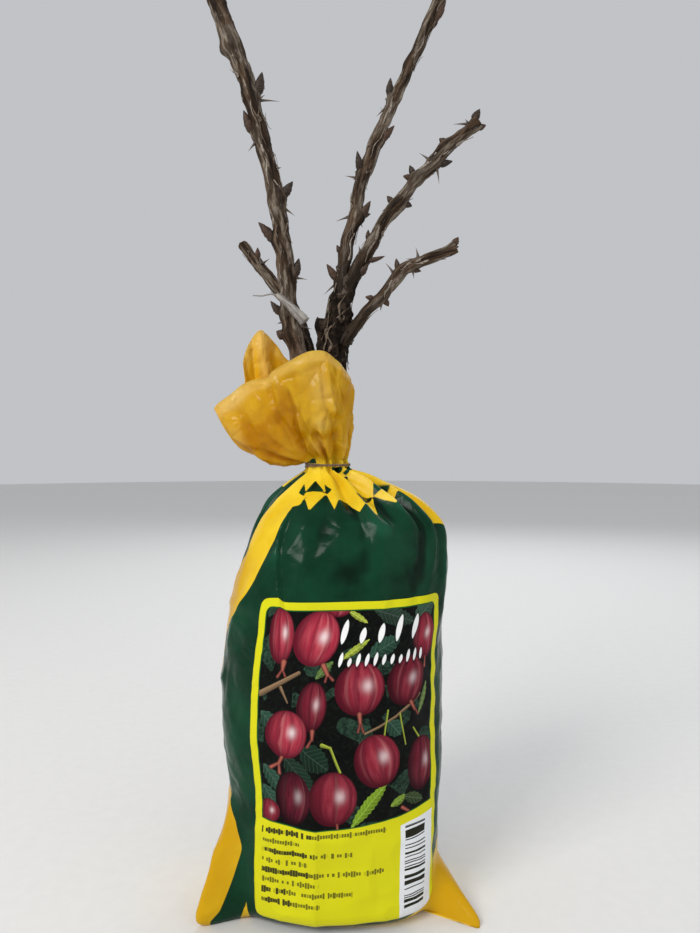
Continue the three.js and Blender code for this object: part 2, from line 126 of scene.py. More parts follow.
class Field:
    """A number that varies over a surface, worked out by a chain of shader nodes."""

    def __init__(self, tree, socket):
        self.tree = tree
        self.socket = socket

    def math(self, operation, *others):
        node = self.tree.nodes.new("ShaderNodeMath")
        node.operation = operation
        for place, value in enumerate((self, *others)):
            put(self.tree, value, node.inputs[place])
        return Field(self.tree, node.outputs[0])

    def __neg__(self):
        return self * -1.0

    def inside(self, soft=0.08):
        """1 where the field is above 0 and 0 where it is below, with a soft edge."""
        return self.ramp(-soft, soft)

    def ramp(self, low, high):
        """Smooth step from 0 at low to 1 at high."""
        node = self.tree.nodes.new("ShaderNodeMapRange")
        node.interpolation_type = "SMOOTHSTEP"
        put(self.tree, self, node.inputs["Value"])
        node.inputs["From Min"].default_value = low
        node.inputs["From Max"].default_value = high
        return Field(self.tree, node.outputs["Result"])


def math_method(operation):
    return lambda self, *others: self.math(operation, *others)


FIELD_METHODS = {
    "__add__": "ADD", "__sub__": "SUBTRACT", "__mul__": "MULTIPLY", "__truediv__": "DIVIDE",
    "__abs__": "ABSOLUTE", "least": "MINIMUM", "most": "MAXIMUM", "power": "POWER",
    "root": "SQRT", "floor": "FLOOR", "sine": "SINE",
}
for method, operation in FIELD_METHODS.items():
    setattr(Field, method, math_method(operation))


def new_material(name, roughness, **inputs):
    """A material with one Principled shader at its top level."""
    material = bpy.data.materials.new(name)
    material.use_nodes = True
    tree = material.node_tree
    shader = tree.nodes["Principled BSDF"]
    shader.inputs["Roughness"].default_value = roughness
    for label, value in inputs.items():
        shader.inputs[label.replace("_", " ")].default_value = value
    return material, tree, shader


def coordinates(tree):
    """Place on the object, in millimetres."""
    place = tree.nodes.new("ShaderNodeTexCoord")
    scale = tree.nodes.new("ShaderNodeVectorMath")
    scale.operation = "SCALE"
    scale.inputs["Scale"].default_value = 1 / MM
    tree.links.new(place.outputs["Object"], scale.inputs[0])
    return scale.outputs[0]


def attribute(tree, name):
    node = tree.nodes.new("ShaderNodeAttribute")
    node.attribute_name = name
    return node


def stored(tree, name):
    """The field that a mesh keeps under a name."""
    return Field(tree, attribute(tree, name).outputs["Fac"])


def stored_pair(tree, name):
    """First two parts of the vector that a mesh keeps under a name."""
    split = tree.nodes.new("ShaderNodeSeparateXYZ")
    tree.links.new(attribute(tree, name).outputs["Vector"], split.inputs[0])
    return Field(tree, split.outputs[0]), Field(tree, split.outputs[1])


def noise(tree, place, size, detail=3, rough=0.55, warp=0):
    """Noise of about 0 to 1, whose features are about `size` across."""
    node = tree.nodes.new("ShaderNodeTexNoise")
    put(tree, place, node.inputs["Vector"])
    node.inputs["Scale"].default_value = 1 / size
    node.inputs["Detail"].default_value = detail
    node.inputs["Roughness"].default_value = rough
    node.inputs["Distortion"].default_value = warp
    return Field(tree, node.outputs["Fac"])


def cells(tree, place, size, feature="F1"):
    node = tree.nodes.new("ShaderNodeTexVoronoi")
    node.feature = feature
    put(tree, place, node.inputs["Vector"])
    node.inputs["Scale"].default_value = 1 / size
    return node


def chance(tree, value):
    """A random number from 0 to 1 for each value."""
    node = tree.nodes.new("ShaderNodeTexWhiteNoise")
    node.noise_dimensions = "1D"
    put(tree, value, node.inputs["W"])
    return Field(tree, node.outputs["Value"])


def blend(tree, share, first, second):
    """Colour that goes from first to second as share goes from 0 to 1."""
    node = tree.nodes.new("ShaderNodeMix")
    node.data_type = "RGBA"
    put(tree, share, node.inputs["Factor"])
    for value, socket in ((first, node.inputs[6]), (second, node.inputs[7])):
        put(tree, (*value, 1) if isinstance(value, tuple) else value, socket)
    return node.outputs[2]


def bump(tree, shader, height, distance, strength=1.0):
    """Small relief; distance is in millimetres."""
    node = tree.nodes.new("ShaderNodeBump")
    node.inputs["Strength"].default_value = strength
    node.inputs["Distance"].default_value = distance * MM
    put(tree, height, node.inputs["Height"])
    tree.links.new(node.outputs["Normal"], shader.inputs["Normal"])


def finished(material, tree, shader, colour, height, distance, strength=1.0):
    """The material, once it has its colour and its relief."""
    tree.links.new(colour, shader.inputs["Base Color"])
    bump(tree, shader, height, distance, strength)
    return material


# ------------------------------------------------------------------ number helpers

WAVES = 14


def ripple(points, size, seed):
    """Smooth noise of about -1 to 1: plane waves about `size` long in seeded directions."""
    draw = np.random.default_rng(seed)
    total = np.zeros(points.shape[:-1])
    for _ in range(WAVES):
        direction = draw.normal(size=points.shape[-1])
        direction /= np.linalg.norm(direction)
        pitch = size * draw.uniform(0.7, 1.4)
        total += np.cos(points @ direction * (2 * math.pi / pitch) + draw.uniform(0, 2 * math.pi))
    return total / math.sqrt(WAVES)


def smooth_step(value, low, high):
    t = np.clip((value - low) / (high - low), 0, 1)
    return t * t * (3 - 2 * t)


def unit(vectors):
    return vectors / np.maximum(np.linalg.norm(vectors, axis=-1, keepdims=True), 1e-9)


def wheel(turn, side, other):
    """Directions at a turn round a hub that is spanned by two directions."""
    return np.cos(turn)[..., None] * side + np.sin(turn)[..., None] * other


def segment_distance(points, start, end):
    """Distance from points to a segment, share of the way along it, and side (left is plus)."""
    start = np.array(start, float)
    along = np.array(end, float) - start
    offset = points - start
    share = np.clip((offset @ along) / (along @ along), 0, 1)
    gap = np.linalg.norm(offset - share[..., None] * along, axis=-1)
    side = np.sign(along[0] * offset[..., 1] - along[1] * offset[..., 0])
    return gap, share, side


def polyline_distance(points, line):
    """Distance to a chain of segments, share of the way along it, and the nearest one's side."""
    best = np.full(points.shape[:-1], np.inf)
    share = np.zeros_like(best)
    side = np.ones_like(best)
    for i, (start, end) in enumerate(zip(line, line[1:])):
        gap, part, turn = segment_distance(points, start, end)
        nearer = gap < best
        best = np.where(nearer, gap, best)
        share = np.where(nearer, (i + part) / (len(line) - 1), share)
        side = np.where(nearer, turn, side)
    return best, share, side


def polygon_depth(points, corners):
    """Distance inside a polygon's outline; it is minus outside."""
    gap, _, _ = polyline_distance(points, [*corners, corners[0]])
    inside = np.zeros(points.shape[:-1], bool)
    x, y = points[..., 0], points[..., 1]
    for (x1, y1), (x2, y2) in zip(corners, [*corners[1:], corners[0]]):
        if y1 != y2:
            inside ^= ((y1 > y) != (y2 > y)) & (x < (x2 - x1) * (y - y1) / (y2 - y1) + x1)
    return np.where(inside, gap, -gap)


# ------------------------------------------------------------------ mesh helpers


def grid_faces(rows, columns, closed):
    """Four-sided faces of a grid of points kept row after row; closed joins its two sides."""
    r, c = np.meshgrid(np.arange(rows - 1), np.arange(columns - (not closed)), indexing="ij")
    a = r * columns + c
    b = r * columns + (c + 1) % columns
    return np.stack([a, b, b + columns, a + columns], -1).reshape(-1, 4).tolist()


def fan_faces(ring, centre):
    """Triangles from a ring of point numbers to one centre point."""
    return [[a, b, centre] for a, b in zip(ring, [*ring[1:], ring[0]])]


def make_piece(name, points, faces, material, node, slot, **fields):
    """A mesh that stands for a CAD node; each of fields is kept on its points."""
    mesh = bpy.data.meshes.new(name)
    mesh.from_pydata(((np.asarray(points) + BAG_AXIS) * MM).tolist(), [], faces)
    mesh.shade_smooth()
    for label, values in fields.items():
        values = np.asarray(values, np.float32)
        kind, part = ("FLOAT_VECTOR", "vector") if values.ndim == 2 else ("FLOAT", "value")
        mesh.attributes.new(label, kind, "POINT").data.foreach_set(part, values.ravel())
    mesh.materials.append(material)
    piece = bpy.data.objects.new(name, mesh)
    bpy.context.scene.collection.objects.link(piece)
    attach(piece, "root")
    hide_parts(node)
    return piece


def apply_modifier(piece, kind, **settings):
    modifier = piece.modifiers.new(kind.lower(), kind)
    for name, value in settings.items():
        setattr(modifier, name, value)
    bpy.context.view_layer.objects.active = piece
    bpy.ops.object.modifier_apply(modifier=modifier.name)


class Parts:
    """Collects the points, faces and fields of many small shapes for one mesh."""

    def __init__(self):
        self.points = []
        self.faces = []
        self.fields = {}
        self.count = 0

    def add(self, points, faces, **fields):
        points = np.asarray(points, float).reshape(-1, 3)
        self.faces += [[i + self.count for i in face] for face in faces]
        self.points.append(points)
        self.count += len(points)
        for label, values in fields.items():
            self.fields.setdefault(label, []).append(values)

    def make(self, name, material, node, slot):
        fields = {label: np.concatenate(values) for label, values in self.fields.items()}
        return make_piece(name, np.concatenate(self.points), self.faces, material, node, slot, **fields)


# ------------------------------------------------------------------ the film's surface

# Height, centre in x, half width, half depth and squareness of the filled bag.
BODY = np.array([
    [0, -2, 38, 28, 3], [2.5, -2, 41, 32, 3], [7, -2, 42.5, 34, 3], [50, -2.2, 44.2, 36, 2.6],
    [80, -3.4, 46.6, 37.5, 2.4], [128, -0.2, 44.6, 37, 2.5], [148, 3.2, 41.8, 34, 2.5],
    [157, 4.3, 39.4, 30, 2.4], [165, 2.9, 33.2, 24, 2.1], [172, 0.6, 23.4, 17, 2],
    [176.5, -1.4, 15.4, 12.3, 2], [179.6, -4.5, 9.4, 9.2, 2], [184, -5.3, 8.5, 8.8, 2],
])
NECK = 184.0
RUFFLE_LENGTH = 50.0  # of film above the neck
TOP = NECK + RUFFLE_LENGTH

# Bottom corners folded out: angle, height, reach sideways and forwards, narrowness.
EARS = [(204, 48, 16.5, 13, 40), (348, 17, 20, 20, 45)]

# The ruffle round the neck from +X: angle at the neck, edge at the open mouth, and belly.
RUFFLE = [
    (0, (5, -2, 212.5), (5.6, -1, 200)), (18, (4.2, 4, 213), (5.6, 4, 200)),
    (36, (2.5, 10, 216), (3.6, 12, 201)), (52, (-1, 15, 219.5), (-1, 17, 202)),
    (70, (-7, 18.5, 223), (-7, 21, 203)), (88, (-15, 19, 225.5), (-15, 21, 203)),
    (102, (-24, 18, 229), (-23, 18, 202)), (112, (-28.8, 16.5, 235.5), (-27, 16, 200)),
    (122, (-32.5, 14.5, 239), (-31, 14, 197)), (131, (-36.2, 12.5, 241.2), (-34, 12, 194)),
    (141, (-40.6, 11, 235), (-35.5, 10.5, 191)), (151, (-43, 9, 226.5), (-37, 8, 189)),
    (161, (-42.2, 6.2, 217), (-37.5, 5, 184)), (173, (-47.5, 1.5, 208.6), (-38.5, 1, 178.5)),
    (185, (-53, -2.6, 205.6), (-38.6, -3.5, 176)), (196, (-51, -5, 208), (-38.5, -8, 176.5)),
    (207, (-46.3, -7.8, 211), (-35.5, -11.5, 179.5)), (217, (-41, -10.2, 215), (-31.5, -14, 184.5)),
    (226, (-35.2, -12.8, 216.8), (-27.5, -16, 190)), (236, (-30.6, -14, 217.2), (-24, -18, 194)),
    (246, (-26.4, -17.4, 220), (-21, -21.5, 196.5)), (257, (-21, -20, 223), (-17, -25, 199)),
    (273, (-12, -22.5, 227), (-11, -28, 201)), (290, (-5, -22.5, 227), (-4, -28, 202)),
    (308, (1.4, -18, 222), (2, -23, 202)), (326, (4.6, -12, 216.5), (5.8, -15, 202)),
    (344, (5.4, -7, 213.5), (6.4, -7, 201)),
]
RUFFLE_ANGLES = np.array([angle for angle, _, _ in RUFFLE] + [360.0])
MOUTH = np.array([mouth for _, mouth, _ in RUFFLE])
BELLY = np.array([belly for _, _, belly in RUFFLE])


def station(column, height):
    """Smooth curve through one column of BODY, read at a height."""
    z, value = BODY[:, 0], BODY[:, column]
    slope = np.diff(value) / np.diff(z)
    product = slope[:-1] * slope[1:]
    total = np.where(product > 0, slope[:-1] + slope[1:], 1)
    tangent = np.concatenate([slope[:1], np.where(product > 0, 2 * product / total, 0), slope[-1:]])
    i = np.clip(np.searchsorted(z, height, side="right") - 1, 0, len(z) - 2)
    span = z[i + 1] - z[i]
    t = (height - z[i]) / span
    return (
        (2 * t**3 - 3 * t**2 + 1) * value[i]
        + (t**3 - 2 * t**2 + t) * span * tangent[i]
        + (3 * t**2 - 2 * t**3) * value[i + 1]
        + (t**3 - t**2) * span * tangent[i + 1]
    )


def loop_point(knots, angle):
    """Point on the closed smooth curve through the knots of the ruffle."""
    count = len(knots)
    place = np.interp(angle % 360, RUFFLE_ANGLES, np.arange(count + 1))
    i = np.floor(place).astype(int)
    t = (place - i)[..., None]
    p0, p1, p2, p3 = (knots[(i + k) % count] for k in (-1, 0, 1, 2))
    return 0.5 * (
        2 * p1
        + (p2 - p0) * t
        + (2 * p0 - 5 * p1 + 4 * p2 - p3) * t**2
        + (3 * p1 - p0 - 3 * p2 + p3) * t**3
    )


def body_point(angle, z):
    turn = np.radians(angle)
    c, s = np.cos(turn), np.sin(turn)
    power = 2 / station(4, z)
    x = station(1, z) + station(2, z) * np.sign(c) * np.abs(c) ** power
    y = station(3, z) * np.sign(s) * np.abs(s) ** power
    for at, height, out, forward, narrow in EARS:
        facing = np.maximum(0, np.cos(np.radians(angle - at))) ** narrow
        reach = np.maximum(0, 1 - z / height) * facing
        x = x + out * reach * np.sign(math.cos(math.radians(at)))
        y = y - forward * reach
    return np.stack([x, y, z + 0 * x], -1)


def ruffle_point(angle, along):
    neck = body_point(angle, np.full_like(angle, NECK))
    t = along[..., None]
    belly, mouth = loop_point(BELLY, angle), loop_point(MOUTH, angle)
    return (1 - t) ** 2 * neck + 2 * t * (1 - t) * belly + t**2 * mouth


def smooth_film(angle, v):
    """The film without folds; v is the height up to the neck, then the way along the ruffle."""
    angle, v = np.broadcast_arrays(np.asarray(angle, float), np.asarray(v, float))
    body = body_point(angle, np.minimum(v, NECK))
    ruffle = ruffle_point(angle, np.clip((v - NECK) / RUFFLE_LENGTH, 0, 1))
    return np.where((v > NECK)[..., None], ruffle, body)


# ------------------------------------------------------------------ folds in the film

# How deep the gathers round the neck are at each place up the film, and how far they pull in.
GATHERS = 15
GATHER_AT = [0, 118, 140, 152, 160, 168, 175, 180, 183, 186, 193, 205, 220, 234]
GATHER_DEPTH = [0, 0, 0.2, 0.6, 1.1, 1.7, 2.0, 1.4, 1.3, 1.5, 1.3, 0.6, 0.3, 0.2]
GATHER_IN = [0, 0, 0, 0.1, 0.3, 0.6, 1.0, 0.9, 0.9, 0.8, 0.3, 0, 0, 0]
ROUND = 0.75  # millimetres of film to a degree, as the folds count it

# The tuck down the front left: angle and height down its length.
TUCK = [
    (233.9, 164.3), (232.3, 154.6), (237.2, 143.1), (243, 133.3),
    (246.7, 128.2), (251.8, 118.9), (258.8, 104.9),
]
TUCK_SLIP = 1.8
TUCK_SOFT = 1.2

# Folds seen in the film: places (angle, way up), height of the ridge (minus is a valley), width.
FOLDS = [
    ([(224, 176), (229, 168), (231, 159)], 0.9, 1.6),
    ([(272, 166), (274, 160), (262, 152), (258, 140)], 0.9, 4),
    ([(274, 160), (288, 157), (300, 155)], 0.8, 3.5), ([(266, 150), (272, 138), (270, 128)], -1.0, 5),
    ([(287, 161), (292, 150), (296, 138)], 0.8, 4), ([(303, 166), (309, 152), (311, 140)], -0.9, 5),
    ([(262, 84), (265, 52), (266, 26), (266, -12)], 3.6, 9),
    ([(254, 62), (256, 36), (256, 12)], -0.9, 6), ([(281, 60), (284, 34), (285, 6)], -0.8, 8),
    ([(176, 97), (190, 92), (205, 96)], 1.4, 4), ([(214, 132), (206, 118), (200, 104)], 1.0, 3.5),
    ([(205, 96), (216, 80), (222, 62)], 0.7, 5), ([(196, 72), (203, 50), (208, 30)], 0.8, 4),
    ([(333, 158), (337, 130), (334, 100)], 0.7, 4), ([(338, 96), (334, 60), (336, 24)], 0.7, 5),
    ([(253, 227), (254, 214), (241, 199), (230, 188)], -2.0, 1.8),
    ([(238, 230), (236, 218), (227, 192)], -1.6, 2),
    ([(250, 228.5), (267, 227.5), (283, 228)], -1.4, 1.2),
    ([(214, 220), (220, 204), (219, 190)], -1.0, 1.8), ([(252, 219), (254, 204), (236, 186)], 1.0, 1.6),
    ([(300, 216), (305, 204), (307, 188)], 1.5, 2), ([(293, 231), (303, 223), (308, 202)], 0.8, 2.2),
    ([(257, 198), (276, 196), (305, 197)], -1.4, 2), ([(266, 202), (282, 206), (302, 212)], 1.2, 2.4),
    ([(257, 198), (259, 192), (262, 185)], 0.9, 1.4), ([(305, 196), (292, 189), (268, 184)], 0.9, 1.4),
    ([(272, 196), (276, 190), (279, 185)], -0.8, 1.4),
    ([(200, 188), (203, 200), (208, 212)], -1.0, 2.2), ([(190, 226), (205, 212), (214, 196)], 1.0, 2),
    ([(128, 204), (128, 220), (129, 236)], -1.7, 1.5), ([(139, 204), (139, 220), (138, 236)], 1.4, 1.6),
    ([(180, 190), (176, 206), (170, 222)], 0.9, 3), ([(148, 192), (140, 210), (134, 228)], -1.1, 3.5),
]
BODY_FACETS = (24, 1.2, 21)  # width, share of length to width, seed
RUFFLE_FACETS = (13, 1.7, 22)
CREASES = 230  # small seeded ones all over, then the sharper ones of the loose ruffle
RUFFLE_CREASES = 90
CREASE_SEED = 11


def fold_plane(angle, v):
    return np.stack([angle * ROUND, v], -1)


def gathers(angle, v):
    """Folds that run into the tied neck."""
    turn = np.radians(angle)
    phase = GATHERS * angle / 360 + 0.4 * np.sin(2 * turn + 1) + 0.22 * np.sin(5 * turn + 2)
    phase = phase + 0.012 * (v - NECK) * np.sin(3 * turn + 0.5)
    peak = 1 - np.abs(2 * (phase % 1) - 1)
    crest = 2 * smooth_step(peak, -0.1, 1.05) - 1
    uneven = 1 + 0.4 * np.sin(3 * turn + 4) + 0.25 * np.sin(7 * turn)
    depth = np.interp(v, GATHER_AT, GATHER_DEPTH)
    return crest * depth * uneven - np.interp(v, GATHER_AT, GATHER_IN)


def ridge(place, line, height, width):
    gap, share, _ = polyline_distance(place, line)
    ends = smooth_step(share, 0, 0.2) * smooth_step(1 - share, 0, 0.2)
    return height * np.exp(-gap / width) * np.clip(ends + 0.15, 0, 1)


def tuck(place):
    """Step across the tuck, and how far the film to its left has slipped up."""
    line = [(angle * ROUND, z) for angle, z in TUCK]
    gap, share, side = polyline_distance(place, line)
    ends = smooth_step(share, 0, 0.12) * smooth_step(1 - share, 0, 0.45)
    left = smooth_step(-side * gap, -TUCK_SOFT, TUCK_SOFT)
    step = left * 1.1 * np.exp(-gap / 3) - (1 - left) * 1.3 * np.exp(-gap / 4)
    return step * ends, left * np.exp(-gap / 14) * TUCK_SLIP * ends


def small_creases(angle, v):
    """Seeded creases of random length and direction."""
    draw = np.random.default_rng(CREASE_SEED)
    total = np.zeros(angle.shape)
    for number in range(CREASES + RUFFLE_CREASES):
        loose = number >= CREASES
        middle = np.array([draw.uniform(0, 360), draw.uniform(NECK + 4 if loose else 4, TOP - 6)])
        length = draw.uniform(8, 34 if loose else 44)
        turn = draw.normal(math.pi / 2, 0.8)
        reach = np.array([math.cos(turn), math.sin(turn)]) * length / 2
        height = draw.normal(0, 0.55 if loose else 0.36) * (1 if length > 20 else 0.7)
        width = draw.uniform(0.8, 2.2) if loose else draw.uniform(1.2, 4.5)
        near = (angle - middle[0] + 180) % 360 - 180
        place = np.stack([near * ROUND, v - middle[1]], -1)
        total += ridge(place, [-reach, reach], height, width)
    return total


def facets(place, size, stretch, seed):
    """Flat facets between sharp creases, as crumpled film has: 0 along the creases, 1 at most."""
    draw = np.random.default_rng(seed)
    girth = 360 * ROUND
    columns, rows = round(girth / size), round(TOP / size / stretch)
    near = np.full(place.shape[:-1], 1e9)
    after = near
    for number in range(columns * rows):
        x = (number % columns + draw.uniform(0, 1)) * girth / columns
        v = (number // columns + draw.uniform(0, 1)) * TOP / rows
        across = (place[..., 0] - x + girth / 2) % girth - girth / 2
        gap = (across**2 + ((place[..., 1] - v) / stretch) ** 2) / size**2
        after = np.minimum(after, np.maximum(near, gap))
        near = np.minimum(near, gap)
    return after - near


def fold_height(angle, v):
    """How far the film stands out from its smooth shape, in millimetres."""
    place = fold_plane(angle, v)
    turn = np.radians(angle)
    round_place = np.stack([43 * np.cos(turn), 43 * np.sin(turn), v], -1)
    height = gathers(angle, v) + small_creases(angle, v) + tuck(place)[0]
    for line, rise, width in FOLDS:
        height = height + ridge(place, [(a * ROUND, z) for a, z in line], rise, width)
    height = height + 0.45 * ripple(round_place, 38, 3)
    crumple = 0.6 - np.abs(ripple(round_place, 30, 4)) + 0.5 * (0.6 - np.abs(ripple(round_place, 13, 5)))
    height = height + crumple * np.interp(v, [0, 140, 150, TOP], [0.5, 0.4, 0.1, 0.1])
    height = height + facets(place, *BODY_FACETS) * np.interp(v, [120, 145, 165, 176], [0, 0.9, 0.9, 0])
    crushed = facets(place, *RUFFLE_FACETS) - 0.35
    height = height + crushed * np.interp(v, [186, 194, 206, 222, TOP], [0, 0.8, 2.4, 1.8, 0.2])
    return height * smooth_step(v, 0.5, 9)


def film_surface(angle, v, lift=0.0):
    """Folded film, or a surface that lies `lift` outside it."""
    angle, v = np.broadcast_arrays(np.asarray(angle, float), np.asarray(v, float))
    across = smooth_film(angle + 0.4, v) - smooth_film(angle - 0.4, v)
    up = smooth_film(angle, np.minimum(v + 0.4, TOP)) - smooth_film(angle, np.maximum(v - 0.4, 0))
    outward = unit(np.cross(across, up))
    slip = tuck(fold_plane(angle, v))[1]
    points = smooth_film(angle, v + slip) + outward * (fold_height(angle, v) + lift)[..., None]
    points[..., 2] = np.where(v < 9, np.maximum(points[..., 2], 0), points[..., 2])
    return points


# ------------------------------------------------------------------ print on the film

# Where the green field ends, in front view (x, z), then the shapes of its zigzag edge.
FRONT_FIELD = [
    (-60, 163.5), (-19.8, 164.7), (-15.7, 165.6), (-14.2, 168.9), (-6.2, 170.2), (-0.1, 168.2),
    (3, 168.2), (10.7, 166.2), (14, 170), (23.5, 171.2), (60, 170), (60, 30), (38.5, 24),
    (37, 14), (33, 6), (25, 2), (8, 1), (-34, 0), (-35, -9), (-60, -9),
]
YELLOW_SHAPES = [
    [(-14.2, 168.9), (-6.1, 170.3), (-12, 163.6)], [(-5.6, 171), (-0.1, 168.4), (-1.7, 164.1)],
    [(3, 168.4), (10.6, 166.3), (8.1, 163.7)], [(10.9, 166.2), (15.2, 161.1), (14, 170)],
    [(14, 170), (23.5, 171.2), (22.4, 165.4), (18, 167.6)], [(-36.7, 9.5), (-41, -4), (-35, -4)],
]
GREEN_SHAPES = [
    [(14, 170), (6.4, 170.5), (10.5, 166.2)], [(14, 170), (12.8, 175.4), (21.2, 171.4)],
    [(-10.3, 176), (-14.4, 170.9), (-11, 171.6), (-5.8, 171)],
    [(-6.6, 174.9), (-3, 171.8), (-5.4, 170.4)], [(-14.4, 174.4), (-14.3, 169.3), (-16.8, 170.2)],
    [(-14.6, 184.6), (-11, 184.6), (-10.2, 182.2), (-14, 182.6)],
    [(-3.6, 181), (0.5, 181), (1, 179.2), (-3.2, 179.4)],
    [(3, 181.4), (6.2, 180), (3.6, 178), (3.8, 176), (1.6, 176), (2.2, 179)],
]
# Edges of the two yellow side stripes: height, then angles where they start and end.
LEFT_STRIPE = np.array([
    [0, 172, 209], [6, 170, 214], [13, 168, 216], [30, 163, 221], [40, 162, 214], [46, 162, 203],
    [54, 162, 188], [90, 162, 186],
    [113, 171, 195], [121, 178, 207], [136, 185, 222], [151, 198, 229], [162, 208, 230],
    [176, 214, 232], [184, 216, 234],
])
RIGHT_STRIPE = np.array([
    [0, 338, 368], [14, 342, 372], [26, 354, 378], [60, 358, 381], [140, 357, 380],
    [155, 346, 376], [159, 331.6, 372], [165.6, 326.4, 368], [171, 325, 362], [184, 318, 356],
])


def front_print(place):
    depth = polygon_depth(place, FRONT_FIELD)
    for corners in YELLOW_SHAPES:
        depth = np.minimum(depth, -polygon_depth(place, corners))
    return depth


def green_depth(angle, z):
    """How far inside the printed green a place on the film is; minus in the yellow."""
    base = smooth_film(angle, np.minimum(z, NECK))
    arc = math.pi / 180 * np.hypot(base[..., 0], base[..., 1])
    turn = np.where(angle < 180, angle + 360, angle)
    left_from, left_to = (np.interp(z, LEFT_STRIPE[:, 0], LEFT_STRIPE[:, k]) for k in (1, 2))
    right_from, right_to = (np.interp(z, RIGHT_STRIPE[:, 0], RIGHT_STRIPE[:, k]) for k in (1, 2))
    view = np.stack([base[..., 0], z], -1)
    mirror = view * (-1, 1)
    front = np.minimum(np.minimum(turn - left_to, right_from - turn) * arc, front_print(view))
    back = np.full(angle.shape, -99.0)
    for lap in (0, 360):
        between = np.minimum(turn + lap - right_to, 360 + left_from - turn - lap)
        back = np.maximum(back, between * arc)
    on_front = base[..., 1] < 0
    back = np.minimum(back, np.where(on_front | (z < 150), 178 - z, front_print(mirror)))
    depth = np.maximum(front, back)
    for corners in GREEN_SHAPES:
        shape = np.where(on_front, polygon_depth(view, corners), polygon_depth(mirror, corners))
        depth = np.maximum(depth, shape)
    return np.where(z < NECK + 2, depth, YELLOW_DEPTH)


# Painted shade (minus) and painted light (plus) on the film, most of it on the loose ruffle: angle, way up,
# amount, reach round and up.
SHADE_AND_LIGHT_SPOTS = [
    (249, 216, -1.3, 7, 12), (246, 206, -1.2, 7, 9), (208, 217, -0.8, 9, 8), (213, 207, -0.7, 12, 8),
    (228, 222, -0.5, 8, 9), (318, 214, -0.6, 8, 16), (262, 191, 0.5, 24, 5), (202, 234, 0.9, 10, 5),
    (214, 231, 0.6, 10, 4), (283, 217, 0.7, 13, 8), (272, 227, 0.35, 14, 5), (278, 203, 0.6, 12, 5),
    (129, 222, 1.2, 6, 20), (117, 222, -0.3, 8, 20), (143, 222, -0.3, 8, 20),
    (196, 125, -0.9, 22, 42), (205, 30, -0.9, 30, 50), (348, 8, -1.0, 34, 22), (352, 165, -0.7, 20, 10),
]

FILM_COLUMNS = 240
FILM_THICKNESS = 0.22
FLOOR_RINGS = 6
YELLOW_DEPTH = -9  # well outside the green print


def film_rows():
    """Places up the film: close together where the folds and the zigzag are."""
    return np.concatenate([
        np.arange(0, 9, 0.9), np.arange(9, 146, 1.45), np.arange(146, NECK, 0.72),
        np.arange(NECK, TOP - 1.5, 1.08), [TOP],
    ])


def with_floor(values, floor_value):
    """A field's values up the wall, with one value for all points of the bag's floor."""
    return np.concatenate([
        np.full((FLOOR_RINGS - 1) * FILM_COLUMNS, float(floor_value)), values.ravel(), [floor_value]
    ])


def make_film():
    rows = film_rows()
    angle, v = np.meshgrid(np.arange(FILM_COLUMNS) * 360 / FILM_COLUMNS, rows)
    wall = film_surface(angle, v)
    middle = np.array([BODY[0, 1], 0, 0])
    shares = np.arange(1, FLOOR_RINGS) / FLOOR_RINGS
    floor = middle + (wall[0] - middle) * shares[:, None, None]
    rings = np.concatenate([floor, wall])
    centre = len(rings) * FILM_COLUMNS
    points = np.concatenate([rings.reshape(-1, 3), [middle]])
    faces = grid_faces(len(rings), FILM_COLUMNS, True)
    faces += [face[::-1] for face in fan_faces(list(range(FILM_COLUMNS)), centre)]
    green = green_depth(angle, v)
    loose = smooth_step(v, 178, 190)
    # Band along the loose rim, made paler there as painted light.
    rim = smooth_step(v, TOP - 5, TOP - 3.5)
    # Painted shade and painted light spots, kept on the film as its tone.
    tone = np.zeros(v.shape)
    for at, way, amount, wide, tall in SHADE_AND_LIGHT_SPOTS:
        tone += amount * np.exp(-(((angle - at) / wide) ** 2) - ((v - way) / tall) ** 2)
    # Where the film lies doubled; the colour is darkened there as painted shade.
    doubled = smooth_step(TOP - 11 - 6 * np.cos(np.radians((angle - 214) * 3)) - v, -1.2, 1.2)
    layers = doubled * smooth_step(np.abs(angle - 212), 34, 24)
    fields = {"loose": loose, "fold": fold_height(angle, v), "rim": rim, "layers": layers, "tone": tone}
    fields = {label: with_floor(values, 0) for label, values in fields.items()}
    piece = make_piece(
        "bag_film_sheet", points, faces, film_material(), "bag_film", "bag_film",
        green=with_floor(green, YELLOW_DEPTH), **fields,
    )
    apply_modifier(piece, "SOLIDIFY", thickness=FILM_THICKNESS * MM, offset=-1)


